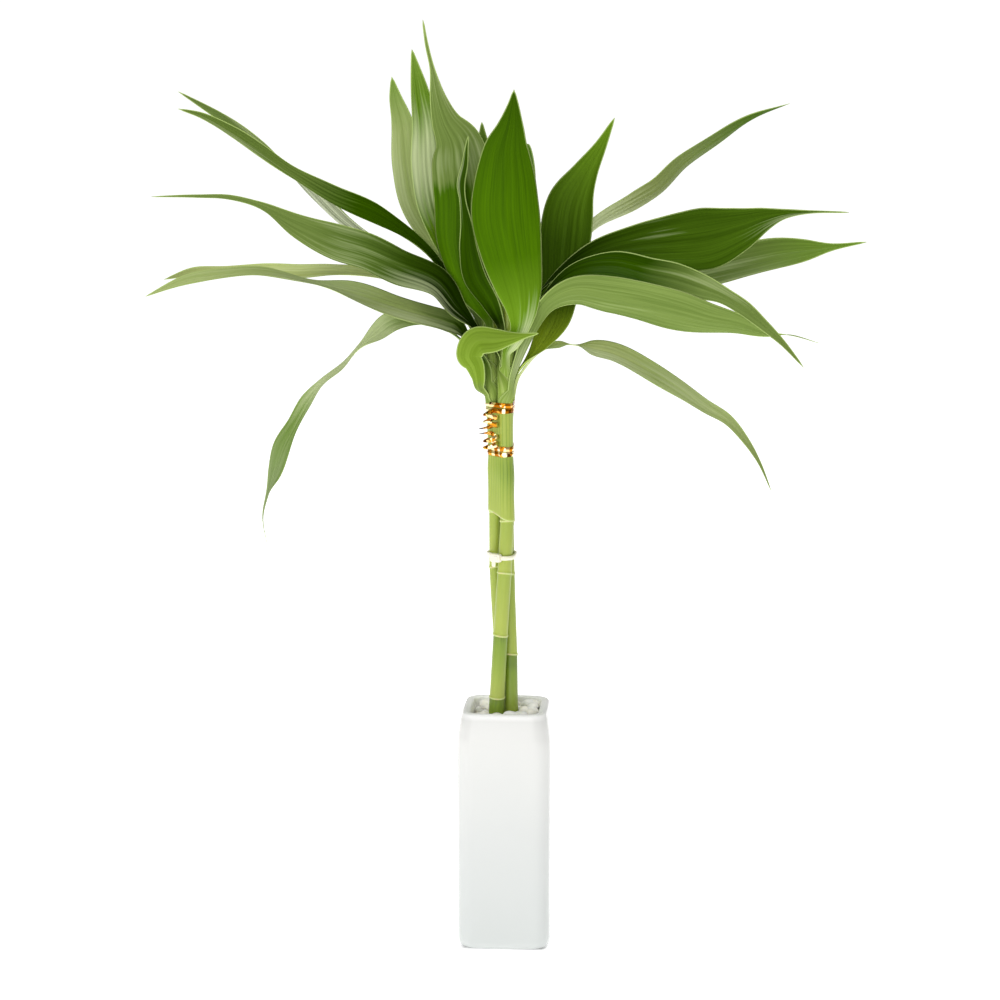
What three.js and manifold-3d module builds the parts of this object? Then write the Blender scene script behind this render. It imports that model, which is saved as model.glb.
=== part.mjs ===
// Lucky bamboo: three ringed stalks with a crown of long leaves, tied together and standing
// in white stones in a tall square vase. Millimetres, +Z up. The origin is the middle of the
// vase's foot, and the plant looks its best seen along +Y.

import * as THREE from "three";
import { mergeVertices } from "three/addons/utils/BufferGeometryUtils.js";
import Module from "manifold-3d";

// Driving sizes
const GAP = 0.35; // air between pieces that lie against each other
const BLADE = 0.8; // thickness of a leaf
const GRIP_WIDTH = 5; // width of a leaf where it clasps its stalk
const GRIP_LENGTH = 7; // height over which it clasps the stalk
const LEAF_BEND = 32; // degrees from one edge of a blade round to the other
const PLANT_TURN = 4; // degrees that the plant is turned in its vase

const VASE_HEIGHT = 131.7;
const VASE_FLOOR = 7;
const CORNER_STEPS = 4;
const STONE_TOP = 125.5; // top of the packed stones, under the loose ones
const STALK_FOOT = 14; // height of the stalks' cut ends in the vase
const STALK_SIDES = 12;

// Real colours of the pieces
const finish = (color, roughness, metalness = 0) =>
  new THREE.MeshStandardMaterial({ color, roughness, metalness });
const glaze = finish("#eef0ee", 0.12);
const stone = finish("#ece6da", 0.6);
const nylon = finish("#f1ecd9", 0.4);
const foil = finish("#e8a020", 0.2, 1);

// Solids

// Makes a closed mesh from its corners and triangles, with its faces turned outwards.
function solid(points, triangles) {
  const volume = triangles.reduce((sum, [a, b, c]) => {
    const cross = new THREE.Vector3().crossVectors(points[b], points[c]);
    return sum + points[a].dot(cross) / 6;
  }, 0);
  const outward = volume > 0 ? triangles : triangles.map(([a, b, c]) => [a, c, b]);
  const geometry = new THREE.BufferGeometry();
  geometry.setAttribute(
    "position",
    new THREE.Float32BufferAttribute(points.flatMap((point) => point.toArray()), 3),
  );
  geometry.setIndex(outward.flat());
  geometry.computeVertexNormals();
  return geometry;
}

// Skins a row of rings that have the same number of points. The two ends are closed by a fan
// about their middle, or the last ring is joined to the first.
function skin(rings, joined = false) {
  const count = rings[0].length;
  const points = rings.flat();
  const triangles = [];
  const strips = joined ? rings.length : rings.length - 1;
  for (let i = 0; i < strips; i++) {
    const next = (i + 1) % rings.length;
    for (let j = 0; j < count; j++) {
      const k = (j + 1) % count;
      triangles.push([i * count + j, i * count + k, next * count + k]);
      triangles.push([i * count + j, next * count + k, next * count + j]);
    }
  }
  if (!joined) {
    for (const end of [0, rings.length - 1]) {
      const middle = new THREE.Vector3();
      rings[end].forEach((point) => middle.addScaledVector(point, 1 / count));
      const centre = points.push(middle) - 1;
      for (let j = 0; j < count; j++) {
        const pair = [end * count + j, end * count + ((j + 1) % count)];
        triangles.push(end === 0 ? [centre, pair[1], pair[0]] : [centre, ...pair]);
      }
    }
  }
  return solid(points, triangles);
}

const wasm = await Module();
wasm.setup();

// A mesh as a body that can be joined and cut.
function body(geometry) {
  const bare = geometry.clone();
  bare.deleteAttribute("normal");
  bare.deleteAttribute("uv");
  const merged = mergeVertices(bare, 1e-4);
  return new wasm.Manifold(
    new wasm.Mesh({
      numProp: 3,
      vertProperties: new Float32Array(merged.attributes.position.array),
      triVerts: new Uint32Array(merged.index.array),
    }),
  );
}

// The largest whole piece of a cut body, as a mesh again.
function meshOf(shape) {
  const whole = shape.decompose().sort((a, b) => b.volume() - a.volume())[0];
  const { vertProperties, triVerts } = whole.getMesh();
  const geometry = new THREE.BufferGeometry();
  geometry.setAttribute("position", new THREE.Float32BufferAttribute(vertProperties, 3));
  geometry.setIndex(Array.from(triVerts));
  geometry.computeVertexNormals();
  return geometry;
}

// A seeded draw between 0 and 1, the same at every run.
function seeded(seed) {
  let state = seed;
  return () => {
    state = (state * 1664525 + 1013904223) % 4294967296;
    return state / 4294967296;
  };
}

// Vase

// A level square with round corners: four arcs, and a point in the middle of each side that
// stands a little proud, as the slightly full sides of a cast vase do.
function roundedSquare(half, corner, z, fullness = 0) {
  const ring = [];
  for (let side = 0; side < 4; side++) {
    const turn = (side * Math.PI) / 2;
    const middle = new THREE.Vector3(half + fullness, 0, z);
    ring.push(middle.applyAxisAngle(new THREE.Vector3(0, 0, 1), turn));
    for (let step = 0; step <= CORNER_STEPS; step++) {
      const angle = ((step / CORNER_STEPS) * Math.PI) / 2;
      const point = new THREE.Vector3(
        half - corner + corner * Math.cos(angle),
        half - corner + corner * Math.sin(angle),
        z,
      );
      ring.push(point.applyAxisAngle(new THREE.Vector3(0, 0, 1), turn));
    }
  }
  return ring;
}

// Height, half width and corner radius: up the outside, over the rim and down the inside.
const vaseOutside = [
  [0, 22.3, 7],
  [0.6, 23.5, 8],
  [2, 24.3, 8.5],
  [5, 24.8, 8.5],
  [30, 24.9, 8.5],
  [75, 25.1, 8.5],
  [115.5, 25.1, 8.5],
  [120.5, 24.6, 8.5],
  [125, 24, 8.2],
  [129, 23.2, 8],
  [131.1, 22.3, 7.6],
  [VASE_HEIGHT, 21, 7],
];
const vaseInside = [
  [131.1, 18.7, 6],
  [129, 18.2, 5.5],
  [100, 18.4, 5.5],
  [VASE_FLOOR, 18.4, 5.5],
];
const VASE_FULLNESS = 0.35;
const innerHalf = 18.2;

function vase() {
  const outside = vaseOutside.map(([z, half, corner]) =>
    roundedSquare(half, corner, z, z > 0 ? VASE_FULLNESS : 0),
  );
  const inside = vaseInside.map(([z, half, corner]) => roundedSquare(half, corner, z));
  return skin([...outside, ...inside]);
}

// Stalks

// Each stalk is straight between its rings and bends a little at them. The points are its
// middle line and its radius: [x, y, z, radius]. Above the ties the sheaths of the leaves
// make it thicker, and it ends in the growing tip.
const stalks = {
  front: {
    line: [
      [-9, -3, STALK_FOOT, 4.1],
      [-5.2, -4, 131.5, 4.1],
      [-3, -4, 171.5, 3.95],
      [-0.9, -4, 205.9, 3.8],
      [0.5, -4, 234.5, 3.7],
      [-0.5, -4, 271.5, 3.7],
      [-0.7, -4, 300.5, 3.7],
      [0.1, -5, 319.5, 4.2],
      [0.9, -5.8, 339.5, 3.8],
      [1.2, -6.2, 351.5, 2.2],
      [1.2, -6.4, 357.5, 0.7],
    ],
    rings: [61.5, 99.5, 137, 171.5, 205.9, 234.5],
  },
  right: {
    line: [
      [5.5, 1, STALK_FOOT, 3.9],
      [2.7, 1.2, 131.5, 3.85],
      [2.5, 2.3, 159.5, 3.7],
      [1.5, 3.4, 191.5, 3.55],
      [1.1, 4, 211.5, 3.45],
      [0.6, 4.7, 241.5, 3.4],
      [-0.2, 4.8, 271.5, 3.4],
      [0.4, 5.3, 300.5, 3.5],
      [2.5, 6.8, 321.5, 4.1],
      [3.7, 8.2, 341.5, 3.7],
      [4.2, 8.9, 353.5, 2],
      [4.4, 9.2, 359.5, 0.7],
    ],
    rings: [49.5, 87.5, 123.5, 159.5, 203.5, 230.5],
  },
  left: {
    line: [
      [2, 10, STALK_FOOT, 3.5],
      [-1.3, 9.5, 131.5, 3.5],
      [-3.7, 8, 171.5, 3.4],
      [-5, 7.2, 191.5, 3.3],
      [-5.9, 5.6, 207.5, 3.2],
      [-6.1, 2.6, 239, 3.1],
      [-5.9, 1, 269.5, 3.1],
      [-7, 0.8, 298.5, 3.2],
      [-7.9, 1.3, 321.5, 4],
      [-8.7, 1.9, 341.5, 3.6],
      [-9, 2.2, 353.5, 2],
      [-9.1, 2.3, 359.5, 0.7],
    ],
    rings: [57.5, 94.5, 132.5, 169.5, 207.5, 239],
  },
};
const RING_RISE = 0.35; // how far a ring stands out of its stalk

// The middle and the radius of a stalk at a height.
function stalkAt(name, z) {
  const { line } = stalks[name];
  const last = line.length - 2;
  const found = line.findIndex((point, i) => i === last || z < line[i + 1][2]);
  const [from, to] = [line[found], line[found + 1]];
  const share = (z - from[2]) / (to[2] - from[2]);
  const [x, y, , radius] = from.map((value, i) => THREE.MathUtils.lerp(value, to[i], share));
  return { middle: new THREE.Vector3(x, y, z), radius };
}

function circle(middle, radius) {
  return Array.from({ length: STALK_SIDES }, (_, i) => {
    const angle = (i / STALK_SIDES) * 2 * Math.PI;
    const out = new THREE.Vector3(Math.cos(angle), Math.sin(angle), 0);
    return middle.clone().addScaledVector(out, radius);
  });
}

function stalk(name) {
  const { line, rings } = stalks[name];
  const plain = line
    .map(([, , z]) => ({ z, rise: 0 }))
    .filter(({ z }) => rings.every((ring) => Math.abs(ring - z) > 2));
  const raised = rings.flatMap((z) => [
    { z: z - 1.6, rise: 0 },
    { z: z - 0.4, rise: RING_RISE },
    { z: z + 0.4, rise: RING_RISE },
    { z: z + 1, rise: 0 },
  ]);
  const heights = [...plain, ...raised].sort((a, b) => a.z - b.z);
  return skin(
    heights.map(({ z, rise }) => {
      const { middle, radius } = stalkAt(name, z);
      return circle(middle, radius + rise);
    }),
  );
}

// Stones: a packed filling and a loose layer on it, one body, with a plain hole for each
// stalk.
const STONE_COUNT = 26;
const STONE_SPREAD = 13.6; // how far from the middle a loose stone's centre lies
const HOLE_STEP = 20;

function stoneBed() {
  const half = innerHalf - GAP;
  let bed = body(
    skin([
      roundedSquare(half, 5.4, VASE_FLOOR + GAP),
      roundedSquare(half, 5.4, STONE_TOP - 3),
      roundedSquare(half - 2.5, 4.5, STONE_TOP),
    ]),
  );
  const random = seeded(7);
  for (let i = 0; i < STONE_COUNT; i++) {
    const size = 3.4 + 1.2 * random();
    const place = new THREE.Vector3(
      (2 * random() - 1) * STONE_SPREAD,
      (2 * random() - 1) * STONE_SPREAD,
      0,
    );
    // The heap is a little higher at the back right.
    place.z = STONE_TOP + 1 + 1.6 * random() + (place.x + place.y) * 0.07;
    const pebble = new THREE.IcosahedronGeometry(1, 1);
    pebble.scale(size, size * (0.75 + 0.2 * random()), size * (0.6 + 0.15 * random()));
    pebble.rotateX(0.5 * (random() - 0.5));
    pebble.rotateZ(Math.PI * random());
    pebble.translate(place.x, place.y, place.z);
    bed = bed.add(body(pebble));
  }
  const turn = THREE.MathUtils.degToRad(PLANT_TURN);
  for (const name of Object.keys(stalks)) {
    const rings = [];
    for (let z = STALK_FOOT - 0.5; z < VASE_HEIGHT + 20; z += HOLE_STEP) {
      const { middle, radius } = stalkAt(name, z);
      rings.push(circle(middle, radius + RING_RISE + GAP));
    }
    bed = bed.subtract(body(skin(rings).rotateZ(turn)));
  }
  return meshOf(bed);
}

// Ties

// A level loop drawn tight round the three stalks, as points and their outward directions.
const LOOP_STEPS = 32;
function loopRound(z, clearance) {
  const held = Object.keys(stalks).map((name) => stalkAt(name, z));
  return Array.from({ length: LOOP_STEPS }, (_, i) => {
    const angle = (i / LOOP_STEPS) * 2 * Math.PI;
    const out = new THREE.Vector3(Math.cos(angle), Math.sin(angle), 0);
    const reach = held.map(({ middle, radius }) => middle.dot(out) + radius);
    const { middle, radius } = held[reach.indexOf(Math.max(...reach))];
    return { point: middle.clone().addScaledVector(out, radius + clearance), out };
  });
}

// A flat strap along such a loop.
function strap(z, height, thickness, clearance = GAP) {
  const rings = loopRound(z, clearance).map(({ point, out }) =>
    [
      [0, -0.5],
      [thickness, -0.5],
      [thickness, 0.5],
      [0, 0.5],
    ].map(([outward, upward]) =>
      point
        .clone()
        .addScaledVector(out, outward)
        .setZ(z + upward * height),
    ),
  );
  return skin(rings, true);
}

// The zip tie: strap, ratchet head in front of the stalks, and the tail cut off short under it.
const ZIP_HEIGHT = 215;
function zipTie() {
  const head = new THREE.BoxGeometry(6.4, 3, 4.6);
  head.rotateZ(THREE.MathUtils.degToRad(-38)).translate(-5.6, -7.1, ZIP_HEIGHT);
  const tail = new THREE.BoxGeometry(2.2, 1.1, 3.2);
  tail.rotateZ(THREE.MathUtils.degToRad(-38)).translate(-6.7, -6.9, ZIP_HEIGHT - 3.2);
  const band = strap(ZIP_HEIGHT, 2.3, 1.1);
  return meshOf(body(band).add(body(head)).add(body(tail)));
}

// A gold twist tie: two wraps of flat foil-covered strip, one on the other, and an end that is
// wound into a loose curl at the left.
const STRIP_HEIGHT = 2.9;
const STRIP = 0.75; // thickness
const CURL_MIDDLE = [-7.5, -7];
const CURL_RADIUS = 3.2;
const CURL_STEPS = 12; // to a turn
const CURL_TAIL = 3; // how far its end sticks out to the left
function goldTie(top, curlFrom, curlTo, turns) {
  const wraps = [top - STRIP_HEIGHT / 2, top - 1.45 * STRIP_HEIGHT].map((z) =>
    body(strap(z, STRIP_HEIGHT, STRIP)),
  );
  const count = Math.round(turns * CURL_STEPS);
  const rings = Array.from({ length: count + 1 }, (_, i) => {
    const share = i / count;
    // The curl starts where it leaves the bundle, at the right and back of its own circle.
    const angle = THREE.MathUtils.degToRad(50) + share * turns * 2 * Math.PI;
    const out = new THREE.Vector3(Math.cos(angle), Math.sin(angle), 0);
    const middle = new THREE.Vector3(...CURL_MIDDLE, THREE.MathUtils.lerp(curlFrom, curlTo, share));
    const radius = CURL_RADIUS + (i === count ? CURL_TAIL : 0);
    return [
      [-0.3, -1],
      [0.3, -1],
      [0.3, 1],
      [-0.3, 1],
    ].map(([outward, upward]) => {
      const corner = middle.clone().addScaledVector(out, radius + outward);
      return corner.setZ(corner.z + upward);
    });
  });
  return meshOf(wraps[0].add(wraps[1]).add(body(skin(rings))));
}

// Leaves

// Every leaf clasps a stalk at a height, on the side given in degrees (0 right, 90 back,
// 180 left, 270 front), and then follows its rib: [x, y, z, width, roll]. Roll turns the blade
// about its rib: 0 shows its upper side to the front, 90 turns that side to the right on an
// upright leaf and up on one that leans left, and 180 shows the underside. A leaf that arches
// backwards has its upper side to the sky at 0.
const leaves = {
  leaf_left_high_near: {
    stalk: "left", side: 210, height: 323.5, color: "#3d5f10",
    rows: [
      [-22, 3, 347.5, 10, 88], [-40, 4, 376.5, 16, 82], [-68, 4, 397.5, 26, 74], [-93, 3, 408.5, 24, 74],
      [-114, 2, 421.8, 13, 66], [-129, 1, 432.5, 11, 62], [-144, 0, 442.5, 9, 55],
      [-160, 0, 451.5, 5, 50], [-173, 0, 455.5, 1, 50],
    ],
  },
  leaf_left_high_far: {
    stalk: "left", side: 122, height: 324.5, color: "#5a6f3a",
    rows: [
      [-20, 14, 347.5, 10, 85], [-41, 20, 359.5, 13, 100], [-65, 25, 376.5, 19, 112],
      [-89, 29, 392.5, 21, 116], [-111, 31, 414.5, 17, 112], [-131, 33, 430.5, 13, 75],
      [-150, 35, 445.5, 9, 60], [-176, 37, 461.5, 1, 60],
    ],
  },
  leaf_left_broad: {
    stalk: "front", side: 200, height: 317.5, color: "#3c5a14",
    rows: [
      [-19.3, -10.2, 343.4, 10, 70], [-27.1, -14, 352.1, 17.5, 56], [-37.6, -17, 364.8, 28, 62],
      [-57, -22, 373.5, 32, 62], [-74, -28, 381.5, 33, 62], [-91, -33, 387.5, 33, 62],
      [-110, -38, 397.5, 22, 66], [-128, -43, 408.5, 11, 80], [-144, -46, 413.5, 7, 72],
      [-160, -48, 414.5, 4, 70], [-183, -50, 414.5, 1, 70],
    ],
  },
  leaf_left_low_near: {
    stalk: "left", side: 240, height: 310.5, color: "#6c8a32",
    rows: [
      [-26.1, -9.5, 340.2, 13, 58], [-32, -13, 343.6, 15, 50], [-40.3, -18, 347, 16.5, 55],
      [-57, -28, 353.5, 18, 60], [-80, -38, 362.5, 18, 64], [-101, -46, 369.5, 12, 86],
      [-126, -54, 375.5, 11, 74], [-145, -60, 375.5, 11, 66], [-163, -64, 373.5, 9, 60],
      [-185, -70, 365.5, 1, 60],
    ],
  },
  leaf_left_low_far: {
    stalk: "left", side: 150, height: 314.5, color: "#667f36",
    rows: [
      [-22, 5, 342.5, 9, 92], [-37, 8, 356, 11, 92], [-62, 14, 364, 16, 80], [-94, 22, 366.5, 15, 70],
      [-114, 26, 365.5, 13, 66], [-133, 30, 366, 10, 62], [-152, 33, 366, 8, 72],
      [-170, 36, 364, 8, 62], [-186, 40, 359.5, 1, 60],
    ],
  },
  leaf_left_drooping: {
    stalk: "left", side: 142, height: 302.5, color: "#6f8f4a",
    rows: [
      [-17, 1, 322.5, 8, 88], [-27, 0, 334.5, 9, 88], [-43, -1, 342.5, 13, 80], [-59, 0, 341.5, 20, 66],
      [-68, 0, 335.5, 20, 66], [-79, 0, 327.5, 12, 82], [-87, 0, 318.5, 12, 80], [-98, 0, 309.5, 11, 80],
      [-106, 0, 298.5, 16, 68], [-113, 0, 286.5, 17, 65], [-120, 0, 273.5, 19, 58],
      [-124, 0, 260.5, 15, 62], [-128, 0, 248.5, 8, 80], [-131, 0, 235.5, 4, 80], [-129, 0, 220.5, 1, 80],
    ],
  },
  leaf_top_outer: {
    stalk: "left", side: 118, height: 338, color: "#56751f",
    rows: [
      [-17, 10, 352.5, 9, 40], [-34, 17, 377.5, 12, 30], [-48.5, 19, 401.5, 17, 18],
      [-53, 21, 422.5, 16, 10], [-55.5, 22, 446.5, 12, 5], [-59, 23, 459.5, 7, 0], [-61, 24, 470.5, 1, 0],
    ],
  },
  leaf_top_pleated: {
    stalk: "left", side: 192, height: 339.5, color: "#4f7327",
    rows: [
      [-15.5, 3, 353.5, 8, 55], [-28, 9, 373.5, 12, 40], [-38.5, 12, 400.5, 19, 22],
      [-42, 14, 423.5, 18, 12], [-43, 15, 445.5, 15, 8], [-46, 16, 463.5, 10, 4], [-50, 17, 485.5, 1, 0],
    ],
  },
  leaf_top_tallest: {
    stalk: "left", side: 265, height: 334.5, color: "#4c7410",
    rows: [
      [-12, -4, 349.5, 11, 168], [-17, -4, 359.5, 18, 175], [-22, -2.5, 383.5, 30, 178],
      [-22, -0.5, 407.5, 33, 180], [-24, 2, 425.5, 32, 180], [-26, 4, 437.5, 26, 180],
      [-32, 6, 448.5, 16, 180], [-36, 7, 460.5, 9, 180], [-39, 8, 475.5, 3, 180],
      [-42, 9, 488.5, 2, 180], [-44, 10, 501.5, 1, 180],
    ],
  },
  leaf_young_folded: {
    stalk: "front", side: 230, height: 331.5, color: "#44700f",
    rows: [
      [-8.5, -9, 352.5, 11, 155], [-17, -9, 366.5, 14, 160], [-20, -8, 380.5, 11, 160],
      [-21, -7, 394.5, 7, 165], [-23, -6, 407.5, 4, 165], [-24, -5, 416.5, 5, 165],
      [-22, -4.5, 426.5, 4, 165], [-21, -4, 434.5, 2.5, 165], [-20, -3.5, 441.5, 1, 165],
    ],
  },
  leaf_centre_broad: {
    stalk: "front", side: 265, height: 319.5, color: "#4f7a00",
    rows: [
      [2, -13.5, 331.5, 9, 180], [6.5, -17, 339.5, 10, 180], [8, -18.5, 349.5, 17, 180],
      [7, -19.5, 361.5, 25, 180], [2.5, -20.5, 382.5, 33, 180], [-0.5, -21.5, 401.5, 37, 180],
      [-0.5, -22, 419.5, 33, 180], [0, -22.5, 436.5, 24, 180], [2, -23, 447.5, 15, 180],
      [3.5, -23, 458.5, 7, 180], [4, -23, 467.5, 1, 180],
    ],
  },
  leaf_top_hidden: {
    stalk: "right", side: 166, height: 339.5, color: "#4a7012",
    rows: [
      [-2, 15, 356.5, 10, 5], [-6, 17, 375.5, 17, 5], [-9, 20, 405.5, 18, 0], [-12, 22, 429.5, 9, 0],
      [-13, 23, 446.5, 1, 0],
    ],
  },
  leaf_right_upright: {
    stalk: "front", side: 30, height: 304.5, color: "#466f06",
    rows: [
      [9, -2, 318.5, 8, -92], [18, 0, 329, 14, -62], [26, 6, 342.5, 23, -42],
      [30, 13, 362.5, 26, -28], [32, 19, 384.5, 29, -18], [35, 23, 403.5, 26, -15],
      [42.5, 24, 419.5, 15, -12], [50.5, 25, 433.5, 7, -12], [58, 26, 448.5, 1, -12],
    ],
  },
  leaf_right_high: {
    stalk: "right", side: 10, height: 332.5, color: "#6b7c46",
    rows: [
      [16, 21, 352.5, 8, -80], [28, 30, 366.5, 11, -98], [49, 31, 390.5, 20, -116],
      [70, 32, 402.5, 22, -120], [83, 34, 410, 22, -120], [96, 36, 423, 21, -120],
      [115, 39, 436.5, 15, -118], [134, 42, 447.5, 9, -115], [153, 45, 454.5, 1, -110],
    ],
  },
  leaf_right_broad: {
    stalk: "front", side: 40, height: 331.5, color: "#34560a",
    rows: [
      [12, -1, 350.5, 10, -95], [27, 2, 366, 14, -80], [48, 3, 377, 21, -55],
      [69, 3, 381.5, 28, -42], [89, 2, 383.5, 34, -34], [107, 0, 386, 36, -30],
      [124, -2, 391.5, 26, -32], [137, -4, 397, 15, -35], [147, -5, 400, 7, -40],
      [161, -6, 401.5, 2.5, -50], [181, -7, 401.5, 1, -50],
    ],
  },
  leaf_right_far: {
    stalk: "right", side: 15, height: 312.5, color: "#56752c",
    rows: [
      [14, 16, 336.5, 9, -75], [33, 27, 350.5, 12, -70], [61, 29, 355.5, 20, -62],
      [88, 31, 361.5, 24, -50], [112, 34, 366.5, 25, -45], [132, 36, 370.5, 23, -42],
      [147, 38, 373.5, 20, -40], [162, 40, 375.5, 14, -40], [178, 42, 377, 5, -45],
      [196, 44, 379.5, 1, -45],
    ],
  },
  leaf_right_arching: {
    stalk: "front", side: -5, height: 319.5, color: "#4d7418",
    rows: [
      [13, -7, 344.5, 9, -115], [21, -11, 358.5, 12, -95], [36, -13, 371, 15, -68],
      [55, -18, 374.5, 20, -52], [75, -26, 371, 20, -45], [88, -30, 368.5, 21, -43],
      [100, -33.5, 365, 18.5, -42], [113, -41, 361, 12, -43], [123, -48.5, 355.8, 10.5, -45],
      [132, -54, 349, 8, -48], [142, -62, 340.5, 5, -50], [153, -69, 328.5, 1, -50],
    ],
  },
  leaf_right_pale: {
    stalk: "front", side: -44, height: 306.5, color: "#809a52",
    rows: [
      [14, -10, 339.5, 9, -148], [22.5, -14.5, 353.5, 12, -148], [36, -22, 360.5, 20, -145],
      [54, -29, 359, 28, -143], [70.5, -33, 356.5, 30, -142], [89, -37.5, 352.5, 29, -142],
      [105, -41, 348.8, 23, -142], [122, -42, 346, 15, -143], [136, -43, 342, 5, -140],
      [148, -44, 341.5, 4, -90], [163, -45, 337.5, 1, -90],
    ],
  },
  leaf_right_drooping: {
    stalk: "right", side: -25, height: 301.5, color: "#7a9a45",
    rows: [
      [9, 5, 314.5, 8, -95], [18, 7, 324.5, 9, -100], [28, 8, 328.5, 9, -75], [36, 8, 328.5, 7, -98],
      [46, 8, 326.5, 14, -60], [58, 8, 323.5, 16, -55], [76, 8, 314.5, 15, -55], [93, 7, 304.5, 14, -55],
      [107, 7, 294.5, 12, -55], [119, 6, 287.5, 9, -55], [129, 6, 276.5, 6, -55],
      [136, 5, 265.5, 3.5, -55], [143, 5, 249.5, 1, -60],
    ],
  },
  leaf_front_folded: {
    stalk: "left", side: 212, height: 300.5, grip: 2, color: "#7f9f3a",
    rows: [
      [-14.5, -5, 307, 6, 150], [-15.3, -8.5, 313.1, 8.5, 155], [-16.8, -11.5, 319.5, 11, 160],
      [-19.8, -15, 326.3, 14, 165], [-15.8, -18, 334.2, 15.5, 168], [-5.9, -20.5, 335.5, 12.7, 168],
      [3, -22, 336.8, 7, 168], [10, -23, 338.2, 3.2, 168], [17, -23.7, 339.5, 1, 168],
    ],
  },
  leaf_back_upright: {
    stalk: "right", side: 90, height: 335, arches: "back", color: "#4a6f18",
    rows: [
      [4, 21, 361.5, 12, -5], [4, 33, 392.5, 22, 0], [3, 52, 416.5, 26, 0], [2, 77, 427.5, 22, 0],
      [1, 102, 422.5, 13, 0], [0, 127, 402.5, 1, 0],
    ],
  },
  leaf_back_left: {
    stalk: "left", side: 50, height: 318.5, arches: "back", color: "#4a6f18",
    rows: [
      [-8, 16, 344.5, 11, 5], [-15, 32, 373.5, 20, 20], [-20, 57, 391.5, 25, 20],
      [-26, 83, 395.5, 22, 20], [-31, 109, 385.5, 12, 20], [-35, 131, 365.5, 1, 20],
    ],
  },
  leaf_back_right: {
    stalk: "right", side: 75, height: 322.5, arches: "back", color: "#4a6f18",
    rows: [
      [4, 24, 346.5, 12, -10], [9, 42, 367.5, 20, -20], [17, 66, 379.5, 24, -25],
      [24, 92, 376.5, 20, -25], [29, 113, 363.5, 11, -25], [33, 131, 345.5, 1, -25],
    ],
  },
  leaf_back_low: {
    stalk: "right", side: 100, height: 307.5, arches: "back", color: "#55792a",
    rows: [
      [2, 22, 331.5, 11, 0], [1, 40, 345.5, 18, 0], [1, 66, 352.5, 23, 0], [0, 92, 350.5, 20, 0],
      [-1, 114, 342.5, 11, 0], [-2, 132, 328.5, 1, 0],
    ],
  },
};
const ACROSS = 4; // strips from edge to edge
const STEPS_PER_ROW = 1.5;
const LOOSER = 0.5; // how much further off the stalk a clasp is at its top

// The mid-surface of a leaf as cross-sections: each is an arc across the rib, with the normals
// of the upper side. A smooth curve through the rows gives rib, width, roll and bend.
function sections({ stalk: name, side, height, grip = GRIP_LENGTH, arches = "aside", rows }) {
  const turn = THREE.MathUtils.degToRad(side);
  const outward = new THREE.Vector3(Math.cos(turn), Math.sin(turn), 0);
  const clasp = [height, height + grip].map((z, i) => {
    const { middle, radius } = stalkAt(name, z);
    const reach = radius + GAP + BLADE / 2 + i * LOOSER;
    const round = THREE.MathUtils.radToDeg(GRIP_WIDTH / reach);
    return { rib: middle.addScaledVector(outward, reach), form: [GRIP_WIDTH, side - 90, round] };
  });
  const blade = rows.map(([x, y, z, width, roll], i) => ({
    rib: new THREE.Vector3(x, y, z),
    form: [width, roll, i === 0 ? LEAF_BEND * 1.6 : LEAF_BEND],
  }));
  const stations = [...clasp, ...blade];
  const curve = (points, kind) => new THREE.CatmullRomCurve3(points, false, kind, 0.5);
  const ribCurve = curve(stations.map(({ rib }) => rib), "centripetal");
  const forms = stations.map(({ form }) => new THREE.Vector3(...form));
  const formCurve = curve(forms, "catmullrom");
  const steps = Math.round((stations.length - 1) * STEPS_PER_ROW);
  return Array.from({ length: steps + 1 }, (_, i) => {
    const rib = ribCurve.getPoint(i / steps);
    const along = ribCurve.getTangent(i / steps);
    const form = formCurve.getPoint(i / steps);
    const seen = arches === "back" ? new THREE.Vector3(0, -0.35, 0.94) : new THREE.Vector3(0, -1, 0);
    const facing = seen.addScaledVector(along, -seen.dot(along)).normalize();
    const upper = facing.applyAxisAngle(along, THREE.MathUtils.degToRad(form.y));
    const across = new THREE.Vector3().crossVectors(along, upper);
    const arc = THREE.MathUtils.degToRad(Math.max(form.z, 1));
    const radius = Math.max(form.x, 1) / arc;
    return Array.from({ length: ACROSS + 1 }, (_, j) => {
      const angle = (j / ACROSS - 0.5) * arc;
      const point = rib
        .clone()
        .addScaledVector(across, radius * Math.sin(angle))
        .addScaledVector(upper, radius * (1 - Math.cos(angle)));
      const normal = upper
        .clone()
        .multiplyScalar(Math.cos(angle))
        .addScaledVector(across, -Math.sin(angle));
      return { point, normal };
    });
  });
}

// A blade: the mid-surface moved half the thickness up and down, both faces split into
// triangles alike, and closed round its edge.
function leafBlade(leaf) {
  const grid = sections(leaf);
  const lift = (offset) =>
    grid.flatMap((row) =>
      row.map(({ point, normal }) => point.clone().addScaledVector(normal, offset)),
    );
  const points = [...lift(BLADE / 2), ...lift(-BLADE / 2)];
  const under = points.length / 2;
  const at = (i, j) => i * (ACROSS + 1) + j;
  const last = grid.length - 1;
  const triangles = [];
  for (let i = 0; i < last; i++) {
    for (let j = 0; j < ACROSS; j++) {
      const [a, b, c, d] = [at(i, j), at(i, j + 1), at(i + 1, j + 1), at(i + 1, j)];
      triangles.push([a, b, c], [a, c, d]);
      triangles.push([under + a, under + c, under + b], [under + a, under + d, under + c]);
    }
  }
  const wall = (a, b) => triangles.push([a, under + b, b], [a, under + a, under + b]);
  for (let i = 0; i < last; i++) {
    wall(at(i, ACROSS), at(i + 1, ACROSS));
    wall(at(i + 1, 0), at(i, 0));
  }
  for (let j = 0; j < ACROSS; j++) {
    wall(at(0, j), at(0, j + 1));
    wall(at(last, j + 1), at(last, j));
  }
  return solid(points, triangles);
}

// The whole part

function piece(name, geometry, material) {
  const mesh = new THREE.Mesh(geometry, material);
  mesh.name = name;
  return mesh;
}

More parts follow.
